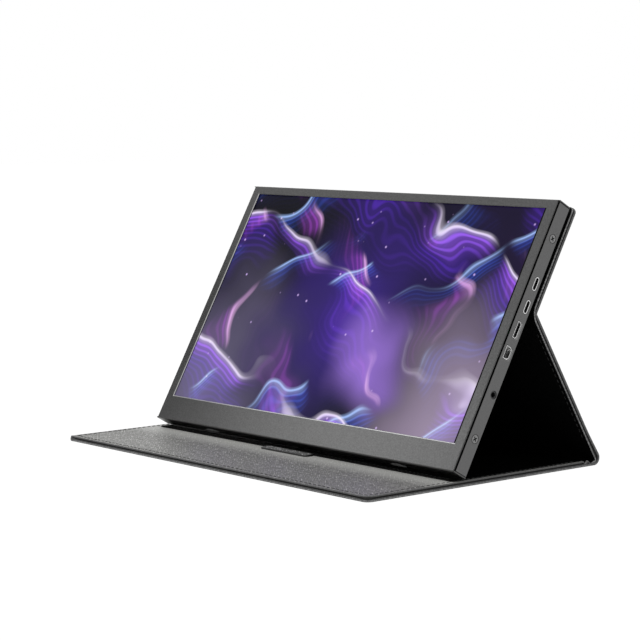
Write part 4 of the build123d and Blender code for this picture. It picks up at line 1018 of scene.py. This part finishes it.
def straight_stitches(name, lines, z):
    """Rows of stitches along straight lines on a level surface."""
    length, radius, pitch = 2.6, 0.28, 3.8
    places, ways = [], []
    for start, end in lines:
        start, end = np.array(start, float), np.array(end, float)
        run = np.linalg.norm(end - start)
        count = max(2, int(run / pitch))
        t = (np.arange(count) + 0.5) / count
        places.append(start + t[:, None] * (end - start))
        ways.append(np.broadcast_to((end - start) / run, (count, 2)))
    xy, way = np.concatenate(places), np.concatenate(ways)
    at = np.column_stack((xy, np.full(len(xy), z))) * MM
    tangent = np.column_stack((way, np.zeros(len(way))))
    normal = np.tile((0.0, 0, 1.0), (len(way), 1))
    return strewn(at, tangent, normal, length, radius, name)


tab_in, strip_in, strip_front_in = 1.9, 1.9, 3.4        # the seams run this far inside the edges
tab_sunk, strip_sunk = 0.05, 0.03                       # and lie this deep
side, tip = TAB_HALF - tab_in, strip_y0 - TAB_L + tab_in
tab_rows = straight_stitches("tab_stitches", [
    ((-side, strip_y0), (-side, tip)), ((-side, tip), (side, tip)), ((side, tip), (side, strip_y0))],
    PANEL_T + TAB_T - tab_sunk)
strip_rows = straight_stitches("strip_stitches", [
    ((strip_x0 + 2.5, y), (strip_x1 - 2.1, y))
    for y in (strip_y1 - strip_in, strip_y0 + strip_front_in)], PANEL_T + STRIP_T - strip_sunk)
dress(join("flap_front_stitches", [tab_rows, strip_rows]), thread, "flap")


def foot(name, x0):
    """Foot under the bottom wall, a low dome with a leaf outline.

    Its half width falls as one minus the square of the length. Its height falls by powers of that
    and of one minus the square of the width.
    """
    half_l, half_w, height, middle_d, clearance = 8.0, 2.6, 0.55, 8.4, 0.02
    rows, columns, least_share = 31, 15, 0.02
    u = np.linspace(-1, 1, rows)[:, None]
    w = np.linspace(-1, 1, columns)[None, :]
    x = x0 + half_l * u + 0 * w
    d = middle_d + half_w * np.clip(1 - u**2, least_share, None) * w
    rise = height * np.clip(1 - u**2, 0, None) ** 0.6 * np.clip(1 - w**2, 0, None) ** 0.5
    top_face = screen_point(x, -rise - clearance, d).reshape(-1, 3)
    base = screen_point(x, 0 * rise, d).reshape(-1, 3)
    return mesh_object(name, np.concatenate((top_face, base)), shell_faces(rows, columns))


foot_x = 98.0                   # from the middle of the screen to each foot
dress(join("bottom_feet_silicone", [foot("left", -foot_x), foot("right", foot_x)]), silicone,
      "screen", ("bottom_feet",))


def pad_piece():
    """Foam pad between the rear cover and the upper panel: edges drawn in by a quarter circle."""
    v0, v1 = FOLD_V + PAD_LOW, SCREEN_H - PAD_HIGH
    half = SCREEN_HALF - PAD_SIDE
    d0, d1 = SCREEN_T + 2.3, SCREEN_T + 3.2
    edge_r, edge = 0.4, np.array([0, .1, .3, .6])
    across_v, across_x = (
        np.concatenate((edge, np.linspace(1, length - 1, count), length - edge[::-1]))
        for length, count in ((v1 - v0, 10), (2 * half, 20)))
    v, x = np.meshgrid(across_v, across_x, indexing="ij")
    d = np.minimum(np.minimum(v, v1 - v0 - v), np.minimum(x, 2 * half - x))
    swell = rolled(d, edge_r) * 0.9
    front = screen_point(x - half, v + v0, d0 + swell).reshape(-1, 3)
    back = screen_point(x - half, v + v0, d1 - swell).reshape(-1, 3)
    return mesh_object("adhesive_foam_pad", np.concatenate((front, back)),
                       shell_faces(len(across_v), len(across_x)))


dress(pad_piece(), foam, "screen", ("adhesive_pad",))

# Camera, in metres: its place, and its axes to the right, up and ahead, as fitted to the outlines
# in the photograph. The lens and the sensor are in millimetres.
camera_place = (1.10065, -0.94884, 0.24009)
right, up, ahead = ((0.65116, 0.75894, -0.00270), (-0.07538, 0.06821, 0.99482),
                    (-0.75519, 0.64759, -0.10162))
camera = placed("camera", bpy.data.cameras.new("camera"))
camera.data.lens, camera.data.sensor_width, camera.data.clip_end = 119.872, 36, 50
turned = Matrix((right, up, [-a for a in ahead])).transposed().to_4x4()
turned.translation = camera_place
camera.matrix_world = turned
bpy.context.scene.camera = camera


# Floor and studio, in metres

def sheet(name, corners):
    """Flat sheet between four corners, part of the studio and not of the object."""
    mesh = bpy.data.meshes.new(name)
    mesh.from_pydata(corners, [], [[0, 1, 2, 3]])
    made = placed(name, mesh)
    return made


def seen_rays(tree):
    """One for the rays that see the background: from the camera, mirrored or through glass."""
    rays = add(tree, "LightPath", {}).node.outputs
    first = add(tree, "Math", {
        "operation": "MAXIMUM", 0: rays["Is Camera Ray"], 1: rays["Is Glossy Ray"]})
    return add(tree, "Math", {"operation": "MAXIMUM", 0: first, 1: rays["Is Transmission Ray"]})


def floor_material():
    """White studio floor: thin matt paper that keeps part of the object's shadow.

    The camera and reflections see the white studio through most of it, brightened to full white,
    so that what folds down below the flap's level shows too.
    """
    glow_strength, sheer_share = 0.08, 0.9
    made = bpy.data.materials.new("white_studio_paper")
    made.use_nodes = True
    tree = made.node_tree
    tree.nodes.clear()
    paper = add(tree, "BsdfDiffuse", {"Color": linear("f2f2f2")})
    glow = add(tree, "Emission", {"Color": (1, 1, 1, 1), "Strength": glow_strength})
    sheer = add(tree, "BsdfTransparent", {})
    bright = add(tree, "AddShader", {0: glow, 1: sheer})
    share = add(tree, "Math", {"operation": "MULTIPLY", 0: seen_rays(tree), 1: sheer_share})
    mix = add(tree, "MixShader", {0: share, 1: paper, 2: bright})
    add(tree, "OutputMaterial", {"Surface": mix})
    return made


floor_half, floor_z = 6, -0.0003
floor = sheet("floor", [(x * floor_half, y * floor_half, floor_z)
                        for x, y in ((-1, -1), (1, -1), (1, 1), (-1, 1))])
floor.data.materials.append(floor_material())

# The world is white where it is seen, and softer where it only lights the object
world = bpy.data.worlds.new("studio")
bpy.context.scene.world = world
world.use_nodes = True
sky = world.node_tree
sky.nodes.clear()
soft = add(sky, "Background", {"Color": (1, 1, 1, 1), "Strength": 0.45})
white = add(sky, "Background", {"Color": (1, 1, 1, 1), "Strength": 1.0})
both_worlds = add(sky, "MixShader", {0: seen_rays(sky), 1: soft, 2: white})
add(sky, "OutputWorld", {"Surface": both_worlds})

# A black cloth beside the set, out of sight, that only the metal mirrors. Wool felt takes up all
# light, so it is black and without gloss.
cloth_top, far, near = 0.40, (-0.714, 0.062), (-0.533, -0.272)
cloth = sheet("black_cloth", [(*far, 0.0), (*near, 0.0), (*near, cloth_top), (*far, cloth_top)])
cloth.visible_camera = cloth.visible_diffuse = cloth.visible_shadow = False
cloth.data.materials.append(grained("black_felt", "060606", "020202", 0.95, 0.0, 2.0, 0.1))


def softbox(name, place, target, size, watts):
    """Square soft light of one size that faces a target point."""
    lamp = bpy.data.lights.new(name, "AREA")
    lamp.shape = "RECTANGLE"
    lamp.size = lamp.size_y = size
    lamp.energy = watts
    made = placed(name, lamp)
    away = np.array(place, float) - np.array(target, float)
    away /= np.linalg.norm(away)
    side = np.cross((0, 0, 1), away)
    side /= np.linalg.norm(side)
    made.matrix_world = Matrix.Translation(place) @ Matrix(
        (side, np.cross(away, side), away)).transposed().to_4x4()


# Lights: place, target and size in metres, and power in watts
softbox("key", (-0.44, -0.36, 0.35), (0.05, -0.03, 0.03), 0.2, 0.3)
softbox("side", (1.6, 0.3, 0.9), (0.1, 0, 0.08), 0.9, 6)
softbox("top", (-0.1, -0.6, 1.8), (0, -0.05, 0.03), 1.2, 24)

bpy.context.scene.view_settings.view_transform = "Standard"
